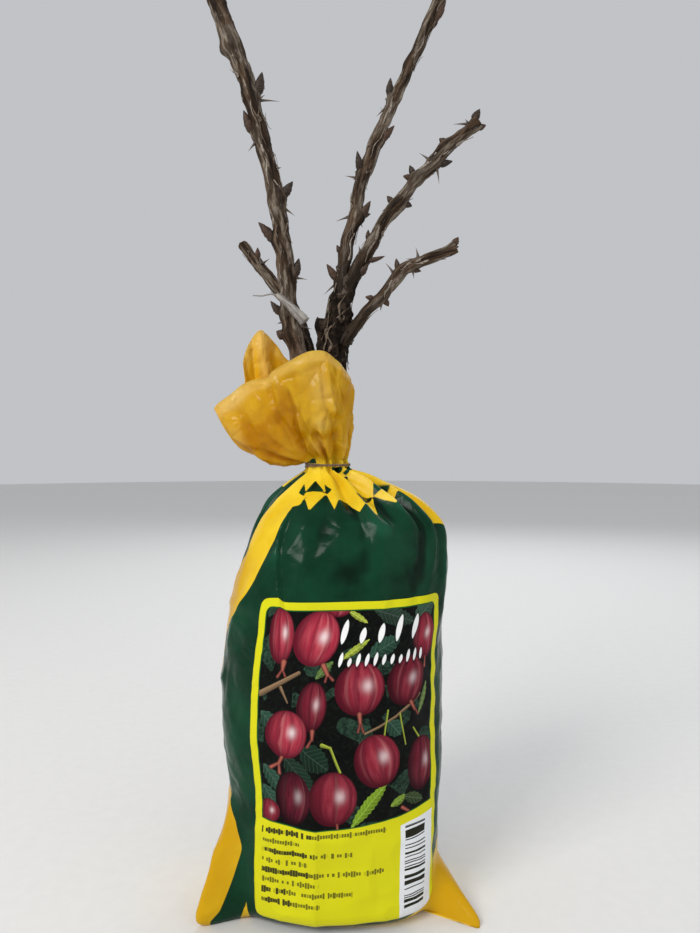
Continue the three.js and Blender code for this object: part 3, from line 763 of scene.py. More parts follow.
def film_material():
    """Printed film: deep green and golden yellow, glossy, and letting light through where loose; painted
    shade darkens its folds and painted light brightens its ridges.
    """
    material, tree, shader = new_material("printed_film", roughness=0.22)
    place = coordinates(tree)
    green = stored(tree, "green").inside(0.12)
    loose = stored(tree, "loose")
    cloud = noise(tree, place, 22, detail=4)
    fine = noise(tree, place, 3, detail=3)
    fold = stored(tree, "fold")
    yellow_tone = blend(tree, cloud.ramp(0.35, 0.7), (0.76, 0.49, 0.012), (0.90, 0.65, 0.035))
    tone = stored(tree, "tone")
    # Painted shade: the yellow turns deep orange in the ruffle's fold valleys, where the film lies doubled,
    # and in the painted shade spots.
    deep = (fold.ramp(0.4, -1.6) * 0.55 + stored(tree, "layers") * 0.4) * loose
    deep = (deep + tone.ramp(0, -1) * 0.9).least(1)
    yellow_tone = blend(tree, deep, yellow_tone, (0.56, 0.29, 0.002))
    # Painted light: the yellow turns pale on fold ridges, along the loose rim and in the painted light
    # spots.
    pale = fold.ramp(0.8, 2.2) * 0.35 + loose * (stored(tree, "rim") * 0.55 + tone.ramp(0, 1) * 0.7)
    yellow_tone = blend(tree, pale.least(1), yellow_tone, (0.93, 0.74, 0.20))
    green_tone = blend(tree, cloud.ramp(0.3, 0.72), (0.0020, 0.024, 0.010), (0.005, 0.050, 0.022))
    specks = fine.ramp(0.74, 0.80) * 0.12
    green_tone = blend(tree, specks, green_tone, (0.12, 0.2, 0.16))
    # Painted highlight: paler green on fold ridges. Painted shade: near black in fold valleys and along the
    # tuck.
    green_tone = blend(tree, fold.ramp(0.5, 1.8) * 0.3, green_tone, (0.02, 0.13, 0.07))
    green_tone = blend(tree, fold.ramp(-0.5, -1.3) * 0.85, green_tone, (0.001, 0.008, 0.004))
    colour = blend(tree, green, yellow_tone, green_tone)
    tree.links.new(colour, shader.inputs["Base Color"])
    broad = abs(noise(tree, place, 15, detail=1, rough=0.3, warp=1.0) - 0.5)
    small = abs(noise(tree, place, 5, detail=1, rough=0.3, warp=0.6) - 0.5)
    crushed = Field(tree, cells(tree, place, 12, "DISTANCE_TO_EDGE").outputs["Distance"]) * 3.4
    crushed = crushed + Field(tree, cells(tree, place, 5.5, "DISTANCE_TO_EDGE").outputs["Distance"]) * 0.8
    bump(tree, shader, broad * 0.75 + small * 0.2 + crushed * loose, 1)
    put(tree, loose * 0.16 + 0.1, shader.inputs["Specular IOR Level"])
    glow = tree.nodes.new("ShaderNodeBsdfTranslucent")
    glow_colour = blend(tree, green, (0.96, 0.62, 0.035), (0.02, 0.12, 0.05))
    tree.links.new(glow_colour, glow.inputs["Color"])
    mix = tree.nodes.new("ShaderNodeMixShader")
    put(tree, loose * 0.5, mix.inputs["Fac"])
    tree.links.new(shader.outputs[0], mix.inputs[1])
    tree.links.new(glow.outputs[0], mix.inputs[2])
    tree.links.new(mix.outputs[0], tree.nodes["Material Output"].inputs["Surface"])
    return material


# ------------------------------------------------------------------ the label

LABEL_ANGLES = (232.5, 330)
LABEL_HEIGHTS = (5.2, 129.6)
LABEL_RISE = 1.6  # of its right top corner, which stands a little higher
LABEL_COLUMNS = 120
LABEL_ROWS = 150
LABEL_LIFT = 0.3
LABEL_THICKNESS = 0.16
CORNER_LEFT = 3.2
CORNER_RIGHT = (7.5, 3.2)  # bottom, top
ART_WIDTH = 76.0
ART_HEIGHT = 121.0


def corner_inset(height, bottom, top):
    """How far a rounded end has cut in at a height on the label."""
    low = np.clip(bottom - height, 0, bottom)
    high = np.clip(top - (ART_HEIGHT - height), 0, top)
    return bottom - np.sqrt(bottom**2 - low**2) + top - np.sqrt(top**2 - high**2)


def make_label():
    share = np.linspace(0, 1, LABEL_ROWS)
    share = 0.5 - 0.5 * np.cos(share * math.pi) * (1 - 0.25 * np.sin(share * math.pi))
    height = ART_HEIGHT * share
    left = corner_inset(height, CORNER_LEFT, CORNER_LEFT)
    right = ART_WIDTH - corner_inset(height, *CORNER_RIGHT)
    across = left[:, None] + (right - left)[:, None] * np.linspace(0, 1, LABEL_COLUMNS)
    v = np.interp(height, [0, ART_HEIGHT], LABEL_HEIGHTS)[:, None]
    v = v + LABEL_RISE * (height[:, None] / ART_HEIGHT) * (across / ART_WIDTH)
    angle = label_angle(across, v)
    points = film_surface(angle, v, LABEL_LIFT).reshape(-1, 3)
    art = np.stack([across, height[:, None] + 0 * across, 0 * across], -1).reshape(-1, 3)
    faces = grid_faces(LABEL_ROWS, LABEL_COLUMNS, False)
    piece = make_piece("label_sheet", points, faces, label_material(), "front_label", "label", art=art)
    apply_modifier(piece, "SOLIDIFY", thickness=LABEL_THICKNESS * MM, offset=-1)


def label_angle(across, v):
    """Angle round the bag of a place that lies `across` from the label's left edge."""
    fine = np.linspace(*LABEL_ANGLES, 196)
    result = np.empty_like(across)
    for row in range(len(across)):
        line = smooth_film(fine, np.full_like(fine, v[row, 0]))
        reach = np.concatenate([[0], np.cumsum(np.linalg.norm(np.diff(line, axis=0), axis=1))])
        result[row] = np.interp(across[row] / ART_WIDTH * reach[-1], reach, fine)
    return result


# Berries on the label, from the back forwards: place, half width, half height, tilt, lightness.
BERRIES = [
    (30.9, 118.7, 5.5, 3.2, 0, 0.6), (67.7, 105.8, 5.6, 8.9, -6, 0.6), (60.0, 90.4, 8.3, 9.4, 8, 0.3),
    (16.2, 48.5, 7.0, 10.4, 5, 0.05), (67.8, 57.2, 6.8, 10.4, 0, 0.22), (24.0, 82.6, 5.5, 9.3, 4, 0.32),
    (6.2, 42.1, 4.6, 4.6, 0, 0.4), (10.6, 108.3, 5.0, 10, -4, 0.75), (24.1, 107.8, 8.6, 10.2, 10, 1.0),
    (41.5, 88.9, 9.3, 10, -4, 0.62), (14.5, 72.3, 7.9, 8.8, 6, 0.82), (48.6, 61.6, 8.9, 10, -14, 0.55),
    (31.5, 48.9, 9.0, 10.4, 3, 0.5),
]
# Strokes behind the berries: from, to, half widths there, colour.
TWIG = (0.32, 0.20, 0.11)
LIME = (0.42, 0.50, 0.06)
TUFT = (0.42, 0.12, 0.08)
TUFT_EDGE = (0.10, 0.02, 0.02)
STROKES = [
    ((4, 86.5), (18.7, 95.2), 1.1, 0.7, TWIG), ((12.1, 89.5), (15, 84), 0.6, 0.25, TWIG),
    ((44, 72), (56, 77.2), 0.4, 0.5, TWIG), ((56, 77.2), (66, 84), 0.5, 0.7, TWIG),
    ((52.6, 80), (51.2, 70), 0.35, 0.35, LIME), ((57.6, 78), (60.2, 66), 0.35, 0.25, LIME),
    ((63.9, 71.5), (68.5, 64.5), 0.3, 0.45, LIME), ((31, 67.5), (34.4, 59), 0.45, 0.45, LIME),
    ((28, 68.5), (31, 67.5), 0.7, 0.4, LIME),
]
# Dried flower tufts under the berries: from, to, half widths there.
TUFTS = [
    ((27.6, 98), (29.4, 94.4), 1.1, 0.8), ((29.2, 95), (31.4, 92.6), 0.4, 0.6),
    ((29.2, 95), (28.6, 92), 0.4, 0.5), ((12.7, 99), (12.4, 96), 1.2, 0.7),
    ((12.4, 96.4), (10.6, 93.4), 0.4, 0.6), ((12.4, 96.4), (13.6, 93.8), 0.4, 0.5),
    ((41.8, 79.5), (42.2, 76), 1.0, 0.7), ((42.2, 76.4), (41.4, 72.8), 0.35, 0.5),
    ((42.2, 76.4), (43.4, 72.6), 0.35, 0.5), ((62, 82), (64, 78.6), 0.9, 0.6),
    ((64, 79), (66, 76.4), 0.4, 0.5), ((24.5, 73.6), (24.4, 70.6), 0.9, 0.6),
    ((24.4, 71), (22.8, 68.4), 0.4, 0.6), ((13, 63.8), (11.4, 61), 0.8, 0.7),
    ((11.6, 61.4), (8, 59.2), 0.6, 0.8), ((11.6, 61.4), (11.6, 57.6), 0.5, 0.8),
    ((69, 97.5), (68.6, 94), 0.5, 0.7), ((33, 39.3), (33.2, 36.5), 0.5, 0.7),
    ((59, 42.2), (62, 40.2), 0.8, 0.6),
]
# Leaves: from, to, half width, colour.
TEAL = (0.030, 0.085, 0.055)
DARK_LEAF = (0.012, 0.035, 0.02)
LEAVES = [
    ((4.5, 80), (12, 73), 3, TEAL), ((5, 60), (12, 50), 3, TEAL), ((4, 52), (10, 43), 3, TEAL),
    ((44, 101), (56, 107), 3.4, TEAL), ((53, 76), (58, 70), 3.2, TEAL),
    ((45, 118), (62, 112), 3, (0.03, 0.06, 0.04)), ((62, 112), (72, 119), 4.2, (0.05, 0.11, 0.07)),
    ((34, 100), (44, 107), 1.3, LIME), ((35, 118), (43, 113), 1.1, LIME),
    ((25, 93), (31, 99.5), 1.6, (0.12, 0.2, 0.05)), ((70, 88), (66, 76), 1.2, (0.16, 0.24, 0.07)),
    ((14, 64), (24, 52), 4.2, DARK_LEAF), ((20, 68), (30, 60), 4.2, DARK_LEAF),
    ((38.5, 37.5), (52, 53), 2.5, (0.25, 0.42, 0.03)),
    ((54, 43.5), (61, 46.5), 1.6, (0.22, 0.34, 0.04)), ((60, 46), (69, 43), 2.2, (0.05, 0.08, 0.03)),
]
PICTURE_LEFT, PICTURE_RIGHT, PICTURE_TOP = 3.0, 73.2, 118.2
LABEL_YELLOW = (0.72, 0.70, 0.012)
INK = (0.02, 0.02, 0.012)

# Greeked lines: where each ends and where its bold start ends.
TEXT_ENDS = [
    (52.3, 23.5), (18.7, 0), (39.2, 23.5), (21.8, 0), (51.7, 23.5), (26.4, 0), (39.4, 13.2), (26.8, 15.5),
]
TEXT_TOP = 34.9
TEXT_LEADING = 3.85
TEXT_LEFT = 3.4
LETTER_PITCH = 1.02

# The barcode: its white block and the area of its bars as left, bottom, right, top, how the bars
# slant, the narrowest bar and the share of gaps.
BAR_BLOCK = (58.4, -6, 74, 35.4)
BAR_AREA = (60.4, 3.4, 70, 35.2)
BAR_SLANT = 0.05
BAR_PITCH = 0.42
BAR_GAPS = 0.46


def rounded_inside(x, y, box, radius):
    """Field that is plus inside a rounded box given as left, bottom, right, top."""
    left, bottom, right, top = box
    dx = abs(x - (left + right) / 2) - ((right - left) / 2 - radius)
    dy = abs(y - (bottom + top) / 2) - ((top - bottom) / 2 - radius)
    outside = (dx.most(0).power(2) + dy.most(0).power(2)).root()
    return -(outside + dx.most(dy).least(0)) + radius


def along_and_off(x, y, start, end):
    """Share of the way along a segment, and the signed distance off it."""
    dx, dy = end[0] - start[0], end[1] - start[1]
    length = math.hypot(dx, dy)
    along = ((x - start[0]) * dx + (y - start[1]) * dy) * (1 / length**2)
    off = ((y - start[1]) * dx - (x - start[0]) * dy) * (1 / length)
    return along, off, length


def stroke_depth(x, y, start, end, wide_start, wide_end):
    """How far inside an uneven stroke a place is, and how far off its middle line."""
    along, off, length = along_and_off(x, y, start, end)
    width = along.most(0).least(1) * (wide_end - wide_start) + wide_start
    beyond = (abs(along - 0.5) - 0.5).most(0) * length
    return width - (off.power(2) + beyond.power(2)).root(), off


def paint_stroke(tree, x, y, colour, stroke):
    start, end, wide_start, wide_end, tone = stroke
    shape, off = stroke_depth(x, y, start, end, wide_start, wide_end)
    light = off.ramp(-wide_start, wide_start)
    dark = tuple(part * 0.35 for part in tone)
    return blend(tree, shape.inside(0.15), colour, blend(tree, light, dark, tone))


def paint_tufts(tree, x, y, colour):
    depth = None
    for tuft in TUFTS:
        shape, _ = stroke_depth(x, y, *tuft)
        depth = shape if depth is None else depth.most(shape)
    body = blend(tree, depth.ramp(0, 0.8), TUFT_EDGE, TUFT)
    return blend(tree, depth.inside(0.2), colour, body)


def paint_leaf(tree, x, y, colour, leaf):
    """A pointed leaf with a toothed edge, a pale midrib and side veins."""
    start, end, width, tone = leaf
    along, off, length = along_and_off(x, y, start, end)
    teeth = (along * (length * 3.2)).sine() * (width * 0.07)
    ends = (-abs(along - 0.5) + 0.5) * length
    shape = ((along * (-along + 1) * 4).most(0).power(0.8) * width + teeth - abs(off)).least(ends * 0.6)
    veins = ((along * length - abs(off) * 0.9) * 3.4).sine().ramp(0.82, 0.98) * 0.35
    rib = (-abs(off) + 0.14).inside(0.1) * 0.5
    shade = off.ramp(-width, width) * 0.5 + 0.3
    dark = tuple(part * 0.3 for part in tone)
    pale = tuple(min(1, part * 1.8 + 0.05) for part in tone)
    body = blend(tree, veins.most(rib), blend(tree, shade, dark, tone), pale)
    return blend(tree, shape.inside(0.12), colour, body)


def berry_group():
    """Node group: paints one striped gooseberry over the colour beneath it."""
    tree = bpy.data.node_groups.new("berry", "ShaderNodeTree")
    names = ["x", "y", "centre_x", "centre_y", "half_width", "half_height", "tilt", "lightness"]
    for name in names:
        tree.interface.new_socket(name, in_out="INPUT", socket_type="NodeSocketFloat")
    tree.interface.new_socket("under", in_out="INPUT", socket_type="NodeSocketColor")
    tree.interface.new_socket("colour", in_out="OUTPUT", socket_type="NodeSocketColor")
    source = tree.nodes.new("NodeGroupInput")
    x, y, cx, cy, half_width, half_height, tilt, lightness = (
        Field(tree, source.outputs[name]) for name in names
    )
    cosine = tilt.math("COSINE")
    sine = tilt.sine()
    dx, dy = x - cx, y - cy
    p = (dx * cosine + dy * sine) / half_width
    q = (dy * cosine - dx * sine) / half_height
    radius2 = p.power(2) + q.power(2)
    depth = (-radius2 + 1).most(0.0001).root()
    meridian = p / (-q.power(2) + 1.02).most(0.02).root()
    turn = meridian.most(-0.999).least(0.999).math("ARCSINE")
    place = tree.nodes.new("ShaderNodeCombineXYZ")
    put(tree, turn * 2.2 + cx, place.inputs[0])
    put(tree, q * 0.45 + cy, place.inputs[1])
    mottle = noise(tree, place.outputs[0], 0.45, detail=3)
    lines = ((turn + mottle * 0.25) * 5.0 + cx).sine().ramp(0.86, 1.0)
    flesh = blend(tree, lightness, (0.070, 0.005, 0.014), (0.50, 0.034, 0.066))
    rosy = blend(tree, lightness, (0.17, 0.012, 0.032), (0.66, 0.10, 0.13))
    body = blend(tree, mottle.ramp(0.35, 0.75), flesh, rosy)
    stripe = blend(tree, lightness, (0.40, 0.14, 0.14), (0.92, 0.50, 0.45))
    body = blend(tree, lines * 0.22, body, stripe)
    streaks = ((turn + mottle * 0.4) * 9.0 + cy).sine().ramp(0.2, 0.9)
    vein = blend(tree, lightness, (0.02, 0.002, 0.006), (0.17, 0.008, 0.026))
    body = blend(tree, streaks * 0.5, body, vein)
    edge = blend(tree, lightness, (0.006, 0.001, 0.003), (0.12, 0.006, 0.018))
    lit = (depth * 0.72 + p * 0.20 + q * 0.12).ramp(0.08, 0.92)
    body = blend(tree, lit, edge, body)
    glint = ((p - 0.3).power(2) * 1.3 + (q - 0.1).power(2)) * -19
    shine = glint.math("EXPONENT") * (lightness * 0.5 + 0.3)
    body = blend(tree, shine * (mottle * 0.5 + 0.7), body, (0.97, 0.86, 0.86))
    under = source.outputs["under"]
    shape = (-radius2.root() + 1) * half_width
    result = tree.nodes.new("NodeGroupOutput")
    tree.links.new(blend(tree, shape.inside(0.18), under, body), result.inputs["colour"])
    return tree


def paint_berries(tree, x, y, colour):
    group = berry_group()
    for cx, cy, half_width, half_height, tilt, lightness in BERRIES:
        node = tree.nodes.new("ShaderNodeGroup")
        node.node_tree = group
        values = (x, y, cx, cy, half_width, half_height, math.radians(-tilt), lightness, colour)
        for value, socket in zip(values, node.inputs):
            put(tree, value, socket)
        colour = node.outputs["colour"]
    return colour


def paint_foliage(tree, place):
    """Dim leaves and gaps behind the berries."""
    patch = cells(tree, place, 6.5)
    split = tree.nodes.new("ShaderNodeSeparateColor")
    tree.links.new(patch.outputs["Color"], split.inputs[0])
    pick = Field(tree, split.outputs[0])
    streak = noise(tree, place, 2.2, detail=4, warp=1.5)
    dim = blend(tree, streak.ramp(0.45, 0.8), (0.0015, 0.002, 0.0016), (0.008, 0.013, 0.009))
    leafy = blend(tree, streak.ramp(0.3, 0.7), (0.004, 0.014, 0.009), (0.035, 0.08, 0.05))
    return blend(tree, pick.ramp(0.78, 0.80) * 0.8, dim, leafy)


# White leaf-shaped marks where a title would stand: left, right, middle height, half height,
# spacing and half width of each row.
TITLE_ROWS = [(31, 66, 110.2, 4.6, 7.0, 1.15), (32.2, 68, 99.6, 2.3, 3.25, 0.72)]


def paint_title(tree, x, y, colour):
    for left, right, middle, tall, pitch, wide in TITLE_ROWS:
        place = (x - left) * (1 / pitch)
        cell = place.floor()
        height = chance(tree, cell + middle) * 0.5 + 0.62
        first = (-cell + 0.5).inside(0.1) * 0.35
        reach = (height + first).least(1.25) * tall
        up = y - (middle - tall) - reach
        off = (place - cell - 0.5) * pitch - up * 0.18
        share = up / reach
        shape = (-share.power(2) + 1).most(0).power(0.7) * wide - abs(off)
        shape = shape.least((x - left).least(-x + right)).least((reach - abs(up)) * 0.5)
        colour = blend(tree, (shape + 0.45).inside(0.4) * 0.6, colour, (0.004, 0.004, 0.004))
        colour = blend(tree, shape.inside(0.12), colour, (0.93, 0.93, 0.92))
    return colour


def paint_text(tree, x, y, colour):
    """Greeked lines: rows of small blocks of ink."""
    row = ((y - (TEXT_TOP + TEXT_LEADING / 2)) * (-1 / TEXT_LEADING)).floor()
    centre = row * -TEXT_LEADING + TEXT_TOP
    end = row * 0
    bold = row * 0
    for i, (line_end, bold_end) in enumerate(TEXT_ENDS):
        here = row.math("COMPARE", float(i), 0.5)
        end = end + here * line_end
        bold = bold + here * bold_end
    heavy = (bold - x).inside(0.05)
    letter = x * (1 / LETTER_PITCH) + row * 17.3
    pick = chance(tree, letter.floor())
    part = letter - letter.floor()
    block = (-abs(part - 0.5) + 0.40) + heavy * 0.07
    tall = pick.ramp(0.55, 0.7) * 0.45 + 0.62 + heavy * 0.12
    inside = (-abs(y - centre) + tall).least(block)
    word = pick - 0.13
    span = (x - TEXT_LEFT).least(end - x)
    mark = inside.least(word).least(span).inside(0.06)
    return blend(tree, mark * (heavy * 0.16 + 0.80), colour, INK)


def paint_bars(tree, x, y, colour):
    """White block with bars of seeded widths."""
    block = rounded_inside(x, y - (x - 58.4) * 0.17, BAR_BLOCK, 0.2)
    colour = blend(tree, block.inside(0.1), colour, (0.80, 0.82, 0.84))
    slant = y - (x - 60) * BAR_SLANT
    bar = (chance(tree, (slant * (1 / BAR_PITCH)).floor()) - BAR_GAPS).inside(0.02)
    area = rounded_inside(x, slant, BAR_AREA, 0.1)
    return blend(tree, bar * area.inside(0.08), colour, INK)


def label_material():
    material, tree, shader = new_material("label_print", roughness=0.3, Specular_IOR_Level=0.08)
    place = attribute(tree, "art").outputs["Vector"]
    x, y = stored_pair(tree, "art")
    picture = paint_foliage(tree, place)
    for leaf in LEAVES:
        picture = paint_leaf(tree, x, y, picture, leaf)
    for stroke in STROKES:
        picture = paint_stroke(tree, x, y, picture, stroke)
    picture = paint_berries(tree, x, y, picture)
    picture = paint_tufts(tree, x, y, picture)
    picture = paint_title(tree, x, y, picture)
    cloud = noise(tree, place, 26, detail=3)
    yellow = blend(tree, cloud, LABEL_YELLOW, (0.66, 0.62, 0.010))
    yellow = paint_text(tree, x, y, yellow)
    yellow = paint_bars(tree, x, y, yellow)
    frame_box = (PICTURE_LEFT, 0, PICTURE_RIGHT, PICTURE_TOP)
    bottom = y - (x - 30).power(2) * 0.0026 - 36.9
    inside = rounded_inside(x, y, frame_box, 2.6).least(bottom)
    rule = inside.inside(0.1)
    colour = blend(tree, rule, yellow, (0.012, 0.10, 0.02))
    colour = blend(tree, (inside - 0.45).inside(0.1), colour, picture)
    relief = noise(tree, coordinates(tree), 9, detail=2, rough=0.4, warp=1)
    relief = relief + noise(tree, place, 1.1, detail=2) * 0.05
    return finished(material, tree, shader, colour, relief, 0.25, 0.4)


# ------------------------------------------------------------------ stems


def centre_line(rows, spacing):
    """Even steps along the smooth curve through rows of x, y, z, radius."""
    knots = np.array(rows, float)
    knots = np.vstack([2 * knots[0] - knots[1], knots, 2 * knots[-1] - knots[-2]])
    fine = []
    for p0, p1, p2, p3 in zip(knots, knots[1:], knots[2:], knots[3:]):
        gaps = [math.sqrt(np.linalg.norm((b - a)[:3])) for a, b in ((p0, p1), (p1, p2), (p2, p3))]
        t0, t1, t2, t3 = np.concatenate([[0], np.cumsum(gaps)])
        for t in np.linspace(t1, t2, 20, endpoint=False):
            a1 = (t1 - t) / (t1 - t0) * p0 + (t - t0) / (t1 - t0) * p1
            a2 = (t2 - t) / (t2 - t1) * p1 + (t - t1) / (t2 - t1) * p2
            a3 = (t3 - t) / (t3 - t2) * p2 + (t - t2) / (t3 - t2) * p3
            b1 = (t2 - t) / (t2 - t0) * a1 + (t - t0) / (t2 - t0) * a2
            b2 = (t3 - t) / (t3 - t1) * a2 + (t - t1) / (t3 - t1) * a3
            fine.append((t2 - t) / (t2 - t1) * b1 + (t - t1) / (t2 - t1) * b2)
    fine = np.array([*fine, knots[-2]])
    reach = np.concatenate([[0], np.cumsum(np.linalg.norm(np.diff(fine[:, :3], axis=0), axis=1))])
    even = np.linspace(0, reach[-1], max(3, round(reach[-1] / spacing)))
    line = np.stack([np.interp(even, reach, fine[:, k]) for k in range(4)], -1)
    return line, even


def spokes(line):
    """Direction along a centre line, then across it to the right, then to the back."""
    along = unit(np.gradient(line[:, :3], axis=0))
    back = np.array([0, 1.0, 0]) - along[:, 1:2] * along
    back = unit(back)
    return along, np.cross(back, along), back


def tube_points(line, radius, turn):
    """Rings round a centre line; radius and turn are grids of rows by sides."""
    _, right, back = spokes(line)
    return line[:, None, :3] + wheel(turn, right[:, None], back[:, None]) * radius[..., None]


def around(rows, sides):
    """The turn of each point of a tube, as a grid of rows by sides."""
    return np.broadcast_to(np.arange(sides) * 2 * math.pi / sides, (rows, sides))


def share_and_turn(rows, sides):
    """Share of the way along, and turn round, of each point of a small tube."""
    return np.meshgrid(np.linspace(0, 1, rows), np.arange(sides) * 2 * math.pi / sides, indexing="ij")


def capped_tube(points):
    """Faces of a tube, and its points with a centre point for each end."""
    rows, sides = points.shape[:2]
    flat = np.concatenate([points.reshape(-1, 3), [points[0].mean(0)], [points[-1].mean(0)]])
    first = list(range(sides))
    last = list(range((rows - 1) * sides, rows * sides))
    faces = grid_faces(rows, sides, True)
    faces += [face[::-1] for face in fan_faces(first, rows * sides)]
    faces += fan_faces(last, rows * sides + 1)
    return flat, faces


def with_ends(values):
    """A grid of one value to a point, as a flat list with the two end points' values added."""
    flat = values.reshape(-1, *values.shape[2:])
    return np.concatenate([flat, values[:1, 0], values[-1:, 0]])


def bark_grain(along, turn, girth, stretch=0.16, offset=0.0):
    """Place on the bark, drawn short along the stem so that noise on it runs lengthwise."""
    rows = np.broadcast_to(along[:, None], turn.shape)
    return np.stack([girth * np.cos(turn), girth * np.sin(turn), rows * stretch + offset], -1)


CANE_SIDES = 32
CANE_STEP = 0.5

# Per cane: centre line (x, y, z, radius), buds (share of length, lean, length, width) and thorns
# (share, lean, length). Lean is the way it points, in degrees as seen from the front: 90 is up.
CANES = {
    "cane_left_tall": {
        "line": [
            (-9.4, -2.6, 169.5, 2.6), (-9, -2.6, 184, 2.3), (-12.4, -2.6, 203, 3),
            (-17.3, -2, 226, 3.7), (-21, -2.4, 243, 3.8), (-22.3, -3, 262, 3.6),
            (-25, -4, 281, 3.6), (-28.5, -6, 302, 3.4), (-34, -8, 323, 3.1),
            (-39.5, -10, 343, 3.3), (-46, -12, 359, 3.6), (-51, -13, 373, 3.7),
            (-59, -15, 396, 3.4),
        ],
        "buds": [
            (0.93, 112, 7, 3.4), (0.804, 116, 9.5, 4.2), (0.8, 150, 3.6, 2.8), (0.714, 71, 10.3, 4.4),
            (0.654, 121, 9.8, 4.2), (0.537, 60, 7.9, 4), (0.462, 124, 10.4, 4.4), (0.397, 74, 8.1, 3.8),
            (0.331, 138, 7.3, 3.4), (0.294, 150, 4.5, 4.6),
        ],
        "thorns": [
            (0.705, 0, 8.8), (0.639, 232, 4.7), (0.519, -39, 5.2), (0.395, -4, 5.3), (0.306, -10, 5.4),
            (0.344, 243, 3.5), (0.32, 194, 2.6), (0.587, 18, 2), (0.9, 150, 4),
        ],
    },
    "cane_right_tall": {
        "line": [
            (0.4, 0.8, 254, 2.7), (1.2, 1.6, 264, 2.8), (3.5, 3, 279, 2.8), (6.5, 4, 289, 2.9),
            (8.2, 5.5, 300, 2.8), (13, 7, 315, 2.8), (21.5, 9, 336, 2.6), (31, 12, 358, 2.6),
            (40.3, 14, 380, 2.5), (45, 15, 391, 2.7), (50, 16.5, 403, 2.8),
        ],
        "buds": [
            (0.826, 54, 11.5, 3.2), (0.841, 32, 5.2, 2.8), (0.576, 96, 7.8, 3.4), (0.452, 54, 9.3, 3.4),
            (0.347, 89, 8.4, 3.2), (0.221, 58, 8.5, 3.6), (0.225, 30, 4.7, 2.2), (0.04, 121, 8, 3.4),
            (0.115, 105, 4, 2.4),
        ],
        "thorns": [
            (0.551, 228, 5.6), (0.561, 110, 2.6), (0.33, 164, 5.3), (0.22, 200, 6), (0.036, 226, 6.9),
            (0.215, -63, 2.6), (0.87, 40, 3),
        ],
    },
    "cane_right_middle": {
        "line": [
            (2.4, 0, 255, 2.6), (6.2, 0, 263.6, 2.7), (10.5, 0, 271, 2.7), (20, -1, 286.5, 2.5),
            (32, -3, 301, 2.5), (46, -6, 315, 2.5), (57.5, -8, 323.5, 2.2),
        ],
        "buds": [
            (0.989, 72, 5.3, 3.4), (0.985, 17, 3.6, 2.6), (0.829, 131, 3.2, 2.8), (0.738, 12, 6.2, 3),
            (0.637, 123, 4.5, 2.8), (0.619, 168, 4, 2.6), (0.471, 121, 4, 2.8), (0.507, -14, 3.4, 2.8),
            (0.268, 95, 4.5, 2.2), (0.184, 6, 8, 2.2), (0.1, 46, 6.5, 3.2),
        ],
        "thorns": [
            (0.958, 187, 6.3), (0.958, 120, 2.8), (0.722, 141, 5.1), (0.722, -83, 6.9), (0.2, 90, 3.2),
        ],
    },
    "cane_right_low": {
        "line": [
            (1.2, -1.6, 233, 2.6), (5, -3.8, 238.4, 2.7), (9.5, -6, 244, 2.5), (18, -9, 252.3, 2.3),
            (26, -12, 261.8, 2.2), (33, -14, 264.8, 2.1), (47, -18, 269, 2.1),
        ],
        "buds": [
            (0.607, 90, 5, 2.4), (0.688, -7, 4.2, 2.4), (0.983, 68, 3.6, 3), (0.413, -68, 3.2, 2.6),
            (0.364, 164, 3.6, 2.4),
        ],
        "thorns": [
            (0.574, 119, 5.8), (0.749, 96, 4.7), (0.73, 184, 3.9), (0.697, -75, 4), (0.381, -99, 3.1),
        ],
    },
    "cane_back_left": {
        "line": [
            (-12.5, 5.5, 227.6, 2.4), (-15.5, 7.5, 238.5, 2.4), (-22.5, 10.5, 252.5, 2.4),
            (-33.5, 15, 267, 2.4), (-45, 20, 281.5, 2.3),
        ],
        "buds": [(0.826, 96, 5.1, 2.6)],
        "thorns": [(0.777, 40, 4.1), (0.771, 117, 3.6)],
    },
}


def on_stem(line, at, lean, sink):
    """Root of a bud or thorn, the way it points, and the directions off the stem and along it."""
    along, _, _ = spokes(line)
    i = round(at * (len(line) - 1))
    out = np.array([math.cos(math.radians(lean)), 0, math.sin(math.radians(lean))])
    spoke = unit(out - out @ along[i] * along[i])
    root = line[i, :3] + spoke * (line[i, 3] - sink)
    return root, out, spoke, along[i]


def kinked(line, even, seed):
    """The line with the slight wandering of a grown stem."""
    grown = smooth_step(even, 2, 14)[:, None]
    sway = np.stack([ripple(even[:, None], size, seed + size) for size in (17, 23, 9)], -1)
    shift = np.stack([0.20 * sway[:, 0] + 0.07 * sway[:, 2], 0.2 * sway[:, 1], 0 * even], -1)
    return np.concatenate([line[:, :3] + shift * grown, line[:, 3:]], 1)


